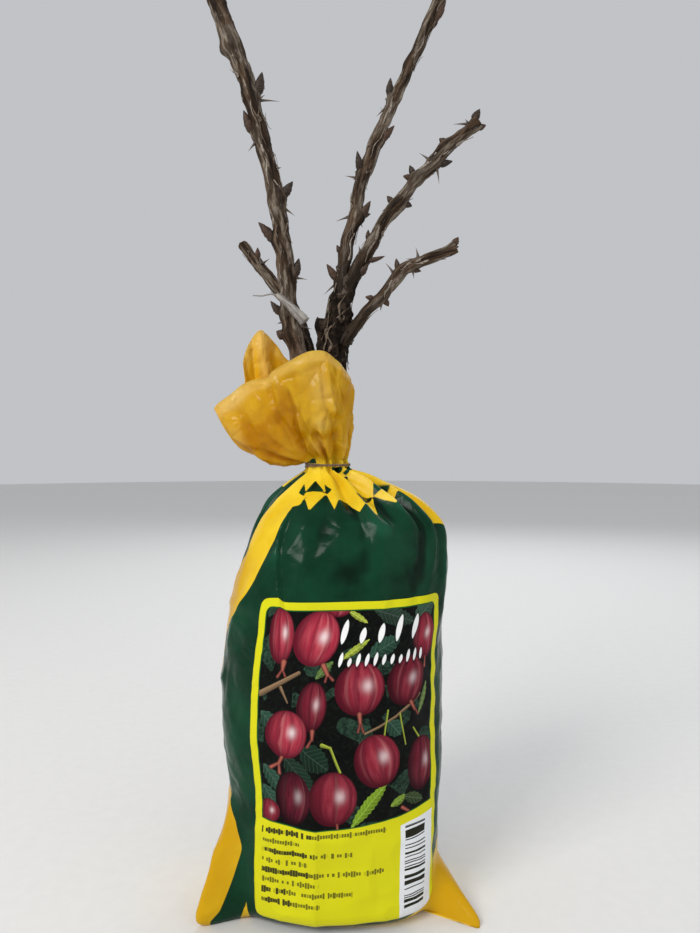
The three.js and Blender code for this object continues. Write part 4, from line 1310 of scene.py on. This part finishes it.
def make_cane(name, cane, seed):
    line, even = centre_line(cane["line"], CANE_STEP)
    line = kinked(line, even, seed)
    turn = around(len(line), CANE_SIDES)
    grain = bark_grain(even, turn, 3.0, offset=seed * 40.0)
    rough = 0.25 * ripple(grain, 3.0, seed) + 0.11 * ripple(grain, 1.1, seed + 1)
    lumps = 0.11 * ripple(bark_grain(even, turn, 3.0, stretch=0.5), 4.0, seed + 9)
    flake = smooth_step(ripple(grain, 4.6, seed + 2), 0.10, 0.25)
    cracks = 1 - smooth_step(np.abs(ripple(grain, 5.0, seed + 3)), 0.0, 0.16)
    radius = line[:, 3:4] - 0.2 + rough + lumps + 0.34 * flake - 0.34 * cracks
    _, right, _ = spokes(line)
    for at, lean, _, width in cane["buds"]:
        _, _, spoke, _ = on_stem(line, at, lean, 0)
        i = round(at * (len(line) - 1))
        swell = np.exp(-(((even - at * even[-1]) / 2.6) ** 2))[:, None]
        facing = 0.5 + 0.5 * np.cos(turn) * np.sign(spoke @ right[i])
        radius = radius + swell * (0.25 + 0.75 * facing) * width / 4
    points = tube_points(line, radius, turn)
    points = np.concatenate([points, points[-1:] * 0.45 + line[-1, :3] * 0.55])
    grain = np.concatenate([grain, grain[-1:]])
    flake = np.concatenate([flake, flake[-1:]])
    end = np.concatenate([np.zeros(turn.shape), np.ones((1, CANE_SIDES))])
    age = np.concatenate([np.exp(-even / 26), [0]])[:, None] + 0 * end
    flat, faces = capped_tube(points)
    make_piece(
        name + "_bark", flat, faces, MATERIALS["bark"], name, "cane_bark",
        grain=with_ends(grain), flake=with_ends(flake), cut=with_ends(end), old=with_ends(age),
    )
    return line


BUD_ROWS = 16
BUD_SIDES = 16
THORN_ROWS = 9
THORN_SIDES = 8
BUD_OUTLINE = ([0, 0.08, 0.24, 0.42, 0.62, 0.8, 0.93, 1], [0.28, 0.36, 0.48, 0.5, 0.4, 0.25, 0.12, 0.02])


def add_bud(parts, root, axis, length, width, seed, tone):
    """Egg-shaped bud with a point and overlapping scales."""
    side = unit(np.cross(axis, (0.3, 1.0, 0.2)))
    other = np.cross(axis, side)
    share, turn = share_and_turn(BUD_ROWS, BUD_SIDES)
    arch = np.abs(np.sin(2.5 * turn + seed))
    scale = (share * 4.2 - 0.75 * arch + seed) % 1
    radius = width * np.interp(share, *BUD_OUTLINE) * (1.0 + 0.16 * (0.5 - scale))
    spoke = wheel(turn, side, other)
    bend = side * (math.sin(seed) * 0.14 * length * share[..., None] ** 2)
    points = root + axis * (length * share)[..., None] + spoke * radius[..., None] + bend
    flat, faces = capped_tube(points)
    parts.add(flat, faces, scale=with_ends(scale), tone=with_ends(tone + 0 * share))


def add_thorn(parts, root, axis, droop, length, thick=0.72):
    """Slender thorn with a flared foot that curves a little back."""
    side = unit(np.cross(axis, droop))
    other = np.cross(axis, side)
    share, turn = share_and_turn(THORN_ROWS, THORN_SIDES)
    radius = thick * (0.9 * (1 - share) ** 1.1 + 0.5 * np.exp(-share * 9)) + 0.03
    spoke = wheel(turn, side, other)
    line = root + axis * (length * share)[..., None] - droop * (0.1 * length * share**2)[..., None]
    flat, faces = capped_tube(line + spoke * radius[..., None])
    parts.add(flat, faces, share=with_ends(share))


def make_buds(name, cane, line, seed):
    draw = np.random.default_rng(seed)
    parts = Parts()
    for i, (at, lean, length, width) in enumerate(cane["buds"]):
        root, out, spoke, _ = on_stem(line, at, lean, 0.5)
        axis = unit(out + np.array([0, draw.uniform(-0.35, 0.1), 0]))
        tone = draw.uniform()
        add_bud(parts, root, axis, length, width, seed + i * 1.7, tone)
        for _ in range(2):  # stubby scales at the foot of the bud
            lean_out = unit(spoke + draw.normal(0, 0.7, 3))
            tall = width * draw.uniform(0.5, 0.9)
            add_bud(parts, root - spoke * 0.6, lean_out, tall, width * 0.4, seed, tone)
    parts.make(name + "_buds", MATERIALS["bud"], name, "cane_bark")


def make_thorns(name, cane, line, seed):
    draw = np.random.default_rng(seed)
    parts = Parts()
    for at, lean, length in cane["thorns"]:
        root, out, spoke, along = on_stem(line, at, lean, 0.5)
        add_thorn(parts, root, unit(out + spoke * 0.2), along, length)
        if length > 4:
            beside = unit(out * 0.4 + spoke * 0.3 + np.array([0, draw.choice([-1, 1]), 0]))
            add_thorn(parts, root, beside, along, length * draw.uniform(0.4, 0.7))
    parts.make(name + "_thorns", MATERIALS["thorn"], name, "cane_bark")


PEEL_STEPS = 14


def make_peelings(name, line, count, seed, node, slot, palest=1.0):
    """Thin strips of old bark that have come away at one end."""
    draw = np.random.default_rng(seed)
    along, right, back = spokes(line)
    parts = Parts()
    for _ in range(count):
        length = int(draw.uniform(3, 19) / CANE_STEP)
        start = int(draw.uniform(0, 0.97) * max(1, len(line) - length - 2))
        turn = draw.uniform(0, 2 * math.pi)
        twist = draw.normal(0, 0.45)
        lift = draw.uniform(0.2, 1.5) * (2 if draw.uniform() < 0.2 else 1)
        width = draw.uniform(0.22, 0.85)
        tone = draw.uniform() * palest
        places = np.linspace(start, min(start + length, len(line) - 1), PEEL_STEPS).astype(int)
        if draw.uniform() < 0.5:
            places = places[::-1]
        share = np.linspace(0, 1, PEEL_STEPS)
        place = turn + twist * share + 0.12 * np.sin(share * 9 + turn)
        spoke = wheel(place, right[places], back[places])
        sideways = np.cross(along[places], spoke)
        height = line[places, 3] + 0.15 + lift * share**3
        middle = line[places, :3] + spoke * height[:, None]
        half = (width * (1 - 0.75 * share**2) * (0.8 + 0.3 * np.sin(share * 14 + turn)))[:, None]
        inner = spoke * 0.14
        ring = [middle - sideways * half, middle + sideways * half]
        ring += [middle + sideways * half - inner, middle - sideways * half - inner]
        flat, faces = capped_tube(np.stack(ring, 1))
        parts.add(
            flat, faces, share=np.concatenate([np.repeat(share, 4), [0, 1]]), tone=np.full(len(flat), tone)
        )
    parts.make(name + "_peelings", MATERIALS["peel"], node, slot)


# ------------------------------------------------------------------ rootstock, spur and peat

TRUNK = [
    (-2, 0, 118, 5), (-2, 0, 138, 9), (-3, 0.5, 152, 7.2), (-3.6, 1.2, 168, 4.8),
    (-3.2, 1.4, 184, 4), (-3.5, 1, 205, 5.2), (-3, 0, 232, 6.4), (-0.8, 0, 245, 5.3),
    (0.6, 0, 254, 4.4),
]
FORKS = [
    [(0.4, 0.2, 248, 4), (0.7, 1, 257, 3.1), (1.1, 1.6, 264, 2.2), (1.8, 2.1, 269, 1.2)],
    [(0.8, 0, 248, 3.8), (3.4, 0, 257, 3), (6.4, 0, 264, 2.1), (8.8, 0, 268.4, 1.1)],
    [(-2, 0, 228, 4), (1.8, -1.6, 233.5, 3.2), (5, -3.6, 238.2, 2.2), (8, -5.4, 242, 1.2)],
    [(-4, 0.5, 203, 3.6), (-9.5, 3.8, 216, 2.9), (-13.2, 6, 230, 2.4)],
    [(-4, 0, 148, 4.5), (-8.5, -1.6, 160, 3.4), (-9.9, -3, 172, 2.7)],
    [(-4.5, -1, 228, 4.5), (-6.6, -2, 238, 3.4), (-8, -2.6, 243, 2.4)],
]
CROWN_PEELS = [(-3.4, 0.6, 206, 5.3), (-3, 0, 232, 6.3), (-0.8, 0, 245, 5.4), (0.8, 0, 256, 5)]
KNOBS = [(-7, -3, 236, 3.2), (3.5, -2.5, 246, 3), (-1, -4.5, 225, 3.4), (2, 3, 236, 3.6), (-6, 2, 222, 3.2)]
ROOT_COUNT = 5
ROOT_TURN = 31  # degrees
ROOT_REACH = 24
ROOT_STEP = 1.2
CROWN_VOXEL = 0.75


def root_lines():
    lines = []
    for i in range(ROOT_COUNT):
        angle = math.radians(ROOT_TURN + i * 360 / ROOT_COUNT)
        x, y = math.cos(angle), math.sin(angle)
        reach = ROOT_REACH * (1 if i % 2 else 0.8)
        lines.append([
            (-2, 0, 134, 3.6),
            (-2 + x * reach * 0.6, y * reach * 0.6, 114.8, 2.9),
            (-2 + x * reach, y * reach, 81.2, 2.2),
            (-2 + x * reach * 0.8, y * reach * 0.8, 38, 1.2),
        ])
    return lines


def add_plain_stem(parts, rows, sides=16):
    line, _ = centre_line(rows, ROOT_STEP)
    turn = around(len(line), sides)
    flat, faces = capped_tube(tube_points(line, line[:, 3:4] + 0 * turn, turn))
    parts.add(flat, faces)


def make_rootstock():
    """Crown, collar and main roots grown into one rough dark body."""
    parts = Parts()
    for rows in (TRUNK, *FORKS, *root_lines()):
        add_plain_stem(parts, rows)
    for x, y, z, radius in KNOBS:
        add_plain_stem(parts, [(x, y, z - radius, 0.8), (x, y, z, radius), (x, y, z + radius, 0.8)])
    piece = parts.make("crown_and_roots", MATERIALS["crown"], "rootstock", "crown_bark")
    apply_modifier(piece, "REMESH", mode="VOXEL", voxel_size=CROWN_VOXEL * MM, use_smooth_shade=True)
    apply_modifier(piece, "SMOOTH", factor=0.5, iterations=3)
    mesh = piece.data
    flat = np.empty(len(mesh.vertices) * 3, np.float32)
    mesh.vertices.foreach_get("co", flat)
    points = flat.reshape(-1, 3) / MM
    normals = np.array([v.normal for v in mesh.vertices])
    grain = points * (1, 1, 0.4)
    plates = smooth_step(ripple(grain, 4.2, 51), -0.1, 0.2)
    height = 0.65 * ripple(grain, 5.0, 52) + 0.5 * ripple(grain, 2.0, 53) + 0.95 * plates - 0.6
    above = smooth_step(points[:, 2], 178, 215)
    points += normals * (height * (0.25 + 0.75 * above))[:, None]
    mesh.vertices.foreach_set("co", (points * MM).astype(np.float32).ravel())
    young = smooth_step(points[:, 2] + 5 * ripple(grain, 7.0, 54), 250, 274)
    for label, values in (("flake", plates), ("young", young)):
        mesh.attributes.new(label, "FLOAT", "POINT").data.foreach_set("value", values.astype(np.float32))


DRY_SPUR = [
    (-14.4, -8.2, 241.2, 2.3), (-15.8, -8.2, 242.8, 2.2), (-19, -8.2, 246.2, 1.85),
    (-22.5, -8.1, 249.6, 1.5), (-25.6, -8.1, 252.1, 1.1), (-26.4, -8.1, 252.6, 0.6),
]
FILAMENT = [(-25.4, -8.2, 252, 0.42), (-28.5, -8.6, 252.7, 0.36), (-32, -8.8, 252, 0.3), (-36, -9, 252, 0.2)]


SPUR_STEP = 0.4


def make_dry_spur():
    parts = Parts()
    for rows, sides in ((DRY_SPUR, 20), (FILAMENT, 8)):
        line, even = centre_line(rows, SPUR_STEP)
        turn = around(len(line), sides)
        grain = bark_grain(even, turn, 1.8)
        radius = line[:, 3:4] * (1 + 0.13 * ripple(grain, 1.4, 71) + 0.08 * ripple(grain, 0.6, 72))
        flat, faces = capped_tube(tube_points(line, radius, turn))
        rim = np.exp(-even / 0.9)[:, None] * (0.7 + 0.5 * ripple(grain, 1.5, 73))
        parts.add(flat, faces, grain=with_ends(grain), rim=with_ends(rim))
    parts.make("dry_spur_wood", MATERIALS["dry"], "dry_spur", "dry_wood")


PEAT_TOP = 166.0
PEAT_GAP = 3.4
PEAT_SIDES = 72
PEAT_ROWS = 84


def make_peat():
    heights = np.concatenate([[0.8], np.linspace(3, PEAT_TOP, PEAT_ROWS - 1)])
    angle, v = np.meshgrid(np.arange(PEAT_SIDES) * 360 / PEAT_SIDES, heights)
    shrink = smooth_film(angle, v)
    middle = np.stack([station(1, v), 0 * v, v], -1)
    inward = unit(middle - shrink)
    lumps = 0.6 * ripple(shrink, 9, 81) + 0.35 * ripple(shrink, 4, 82)
    points = shrink + inward * (PEAT_GAP + lumps + reach_in(angle, v))[..., None]
    flat, faces = capped_tube(points)
    make_piece("peat_lump", flat, faces, MATERIALS["peat"], "peat_fill", "peat")


def reach_in(angle, v):
    """Keeps the peat out of the bag's folded corners and under its gathers."""
    out = 0 * v
    for at, height, reach, _, narrow in EARS:
        facing = np.maximum(0, np.cos(np.radians(angle - at))) ** narrow
        out = out + reach * 1.1 * np.maximum(0, 1 - v / height) * facing
    return out + 2.5 * smooth_step(v, 120, 160)


# ------------------------------------------------------------------ the tie

TIE_CENTRE = -5.3
TIE_HEIGHT = 181.6
TIE_PLY = 0.27
TIE_START = 90  # degrees, at the back
TIE_TURNS = 2
TIE_STEPS = 560
KNOT_STEPS = 70


def neck_radius(angle, v):
    """Outermost reach of the gathered neck at an angle, smoothed over its folds."""
    total = []
    for shift in np.linspace(-10, 10, 7):
        point = film_surface(angle + shift, v)
        total.append(np.hypot(point[..., 0] - TIE_CENTRE, point[..., 1]))
    return np.max(total, axis=0)


def twisted_cord(parts, path, plies=2, sides=8):
    """Plies wound round each other along a path."""
    along = unit(np.gradient(path, axis=0))
    up = np.array([0.05, 0.02, 1.0])
    side = unit(np.cross(along, up))
    other = np.cross(side, along)
    reach = np.concatenate([[0], np.cumsum(np.linalg.norm(np.diff(path, axis=0), axis=1))])
    for ply in range(plies):
        wind = reach * 3.2 + ply * 2 * math.pi / plies
        centre = path + TIE_PLY * 0.8 * wheel(wind, side, other)
        spoke = wheel(around(len(path), sides), side[:, None], other[:, None])
        flat, faces = capped_tube(centre[:, None] + spoke * TIE_PLY)
        parts.add(flat, [face[::-1] for face in faces])


def make_tie():
    parts = Parts()
    angle = np.linspace(TIE_START, TIE_START + TIE_TURNS * 360, TIE_STEPS)
    rise = np.linspace(-0.45, 0.45, len(angle)) + 0.35 * np.sin(np.radians(angle * 1.5))
    radius = neck_radius(angle, TIE_HEIGHT + 0 * angle) - 0.05
    turn = np.radians(angle)
    path = np.stack([
        TIE_CENTRE + radius * np.cos(turn), radius * np.sin(turn), TIE_HEIGHT + rise
    ], -1)
    twisted_cord(parts, path)
    knot_at = path[0] + (0, 0.8, 0.5)
    share = np.linspace(0, 1, KNOT_STEPS)
    knot = knot_at + np.stack([
        1.5 * np.sin(share * 4 * math.pi), 0.9 + 0.9 * np.cos(share * 6 * math.pi),
        1.3 * np.sin(share * 6 * math.pi + 0.6),
    ], -1)
    twisted_cord(parts, knot)
    for way in (-1, 1):
        tail = knot_at + np.stack([
            way * 9 * share, 1 + 8 * share - 2 * share**2, -4.5 * share**2 - 0.5 * share
        ], -1)
        twisted_cord(parts, tail)
    parts.make("tie_cord", MATERIALS["cord"], "neck_tie", "tie_cord")


# ------------------------------------------------------------------ wood, bark, cord and peat materials


def bark_material():
    """Grey-brown bark with pale peeling skin over darker wood, and pale wood where it is cut."""
    material, tree, shader = new_material("cane_bark_skin", roughness=0.82, Specular_IOR_Level=0.15)
    grain = attribute(tree, "grain").outputs["Vector"]
    streak = noise(tree, grain, 2.4, detail=5, rough=0.65)
    speck = noise(tree, grain, 0.7, detail=3)
    patch = noise(tree, coordinates(tree), 13, detail=2)
    flake = stored(tree, "flake")
    fibre = noise(tree, grain, 1.0, detail=3, rough=0.5)
    deep = blend(tree, streak.ramp(0.35, 0.62), (0.010, 0.006, 0.004), (0.082, 0.048, 0.026))
    skin = blend(tree, fibre.ramp(0.35, 0.65), (0.070, 0.052, 0.037), (0.31, 0.265, 0.21))
    share = flake * 0.45 + streak.ramp(0.47, 0.56) * 0.55 + patch.ramp(0.4, 0.7) * 0.3 - 0.38
    colour = blend(tree, share.least(1).most(0), deep, skin)
    colour = blend(tree, fibre.ramp(0.60, 0.68) * 0.5, colour, (0.020, 0.013, 0.009))
    colour = blend(tree, speck.ramp(0.62, 0.74) * 0.35, colour, (0.38, 0.35, 0.31))
    ageing = (stored(tree, "old") + streak * 0.5).ramp(0.5, 1.1) * 0.85
    colour = blend(tree, ageing, colour, (0.022, 0.015, 0.010))
    colour = blend(tree, stored(tree, "cut").ramp(0.3, 0.9), colour, (0.42, 0.33, 0.20))
    return finished(material, tree, shader, colour, streak + speck * 0.4 + fibre * 0.5, 0.5, 0.9)


def bud_material():
    material, tree, shader = new_material("bud_scales", roughness=0.6, Specular_IOR_Level=0.3)
    scale = stored(tree, "scale")
    grain = noise(tree, coordinates(tree), 0.9, detail=3)
    tone = stored(tree, "tone")
    ripe = blend(tree, tone, (0.075, 0.038, 0.021), (0.020, 0.014, 0.010))
    body = blend(tree, scale.ramp(0.5, 0.95) * 0.8, ripe, (0.012, 0.008, 0.006))
    body = blend(tree, grain.ramp(0.45, 0.7) * 0.35, body, (0.12, 0.080, 0.055))
    body = blend(tree, scale.ramp(0.2, 0.0) * 0.3, body, (0.16, 0.11, 0.075))
    return finished(material, tree, shader, body, grain, 0.25, 0.6)


def thorn_material():
    material, tree, shader = new_material("thorn_wood", roughness=0.6)
    share = stored(tree, "share")
    grain = noise(tree, coordinates(tree), 0.8, detail=3)
    colour = blend(tree, share.ramp(0, 0.9), (0.07, 0.05, 0.038), (0.15, 0.105, 0.078))
    colour = blend(tree, grain.ramp(0.4, 0.7) * 0.4, colour, (0.06, 0.045, 0.038))
    return finished(material, tree, shader, colour, grain, 0.15, 0.5)


def peel_material():
    material, tree, shader = new_material("peeling_skin", roughness=0.85)
    share = stored(tree, "share")
    grain = noise(tree, coordinates(tree), 1.2, detail=4)
    tone = stored(tree, "tone")
    dark = blend(tree, tone, (0.045, 0.029, 0.018), (0.19, 0.155, 0.12))
    light = blend(tree, tone, (0.15, 0.105, 0.068), (0.44, 0.39, 0.33))
    colour = blend(tree, grain.ramp(0.3, 0.7), dark, light)
    colour = blend(tree, share.ramp(0.4, 1) * 0.3, colour, (0.24, 0.18, 0.12))
    return finished(material, tree, shader, colour, grain, 0.2, 0.6)


def crown_material():
    """Nearly black old bark with grey plates."""
    material, tree, shader = new_material("crown_old_bark", roughness=0.9, Specular_IOR_Level=0.12)
    place = coordinates(tree)
    grain = noise(tree, place, 3.2, detail=5, rough=0.65)
    fine = noise(tree, place, 0.9, detail=4)
    flake = stored(tree, "flake")
    colour = blend(tree, grain.ramp(0.35, 0.7), (0.006, 0.004, 0.003), (0.030, 0.020, 0.013))
    colour = blend(tree, flake * grain.ramp(0.5, 0.62) * 0.45, colour, (0.095, 0.066, 0.044))
    colour = blend(tree, fine.ramp(0.64, 0.75) * 0.25, colour, (0.15, 0.14, 0.10))
    young = (stored(tree, "young") + grain * 0.4 - 0.2).ramp(0.2, 0.9)
    skin = blend(tree, fine.ramp(0.35, 0.65), (0.03, 0.02, 0.013), (0.17, 0.13, 0.1))
    colour = blend(tree, young * 0.8, colour, skin)
    return finished(material, tree, shader, colour, grain + fine * 0.5, 1.0, 1.0)


def dry_material():
    """Bleached dead wood with a dark rim where it broke."""
    material, tree, shader = new_material("bleached_wood", roughness=0.85)
    streak = noise(tree, attribute(tree, "grain").outputs["Vector"], 1.3, detail=4)
    colour = blend(tree, streak.ramp(0.3, 0.7), (0.13, 0.115, 0.10), (0.38, 0.355, 0.32))
    colour = blend(tree, stored(tree, "rim").ramp(0.35, 0.9) * 0.8, colour, (0.07, 0.05, 0.04))
    return finished(material, tree, shader, colour, streak, 0.3, 0.7)


def cord_material():
    material, tree, shader = new_material("brown_cord", roughness=0.9, Sheen_Weight=0.2)
    grain = noise(tree, coordinates(tree), 0.6, detail=4)
    colour = blend(tree, grain.ramp(0.3, 0.7), (0.09, 0.055, 0.03), (0.26, 0.17, 0.09))
    return finished(material, tree, shader, colour, grain, 0.2, 0.7)


def peat_material():
    material, tree, shader = new_material("damp_peat", roughness=0.95)
    grain = noise(tree, coordinates(tree), 2.5, detail=5)
    colour = blend(tree, grain.ramp(0.35, 0.7), (0.012, 0.007, 0.004), (0.055, 0.032, 0.018))
    return finished(material, tree, shader, colour, grain, 1.0, 0.9)


# ------------------------------------------------------------------ making everything

set_tones()
add_camera()
add_world()
add_floor()
for light in LIGHTS:
    add_area_light(*light)

MATERIALS = {
    "bark": bark_material(), "bud": bud_material(), "thorn": thorn_material(),
    "peel": peel_material(), "crown": crown_material(), "dry": dry_material(),
    "cord": cord_material(), "peat": peat_material(),
}

CANE_SEED = 100
CROWN_SEED = 190
CROWN_PEEL_COUNT = 46
CROWN_PALEST = 0.35

make_film()
make_label()
make_tie()
make_peat()
make_rootstock()
make_dry_spur()
for number, (cane_name, cane) in enumerate(CANES.items()):
    seed = CANE_SEED + 10 * number
    cane_line = make_cane(cane_name, cane, seed)
    make_buds(cane_name, cane, cane_line, seed + 4)
    make_thorns(cane_name, cane, cane_line, seed + 5)
    make_peelings(cane_name, cane_line, len(cane_line) // 8, seed + 6, cane_name, "cane_bark")
crown_line, _ = centre_line(CROWN_PEELS, CANE_STEP)
make_peelings(
    "crown", crown_line, CROWN_PEEL_COUNT, CROWN_SEED, "rootstock", "crown_bark", CROWN_PALEST
)

bpy.context.view_layer.update()
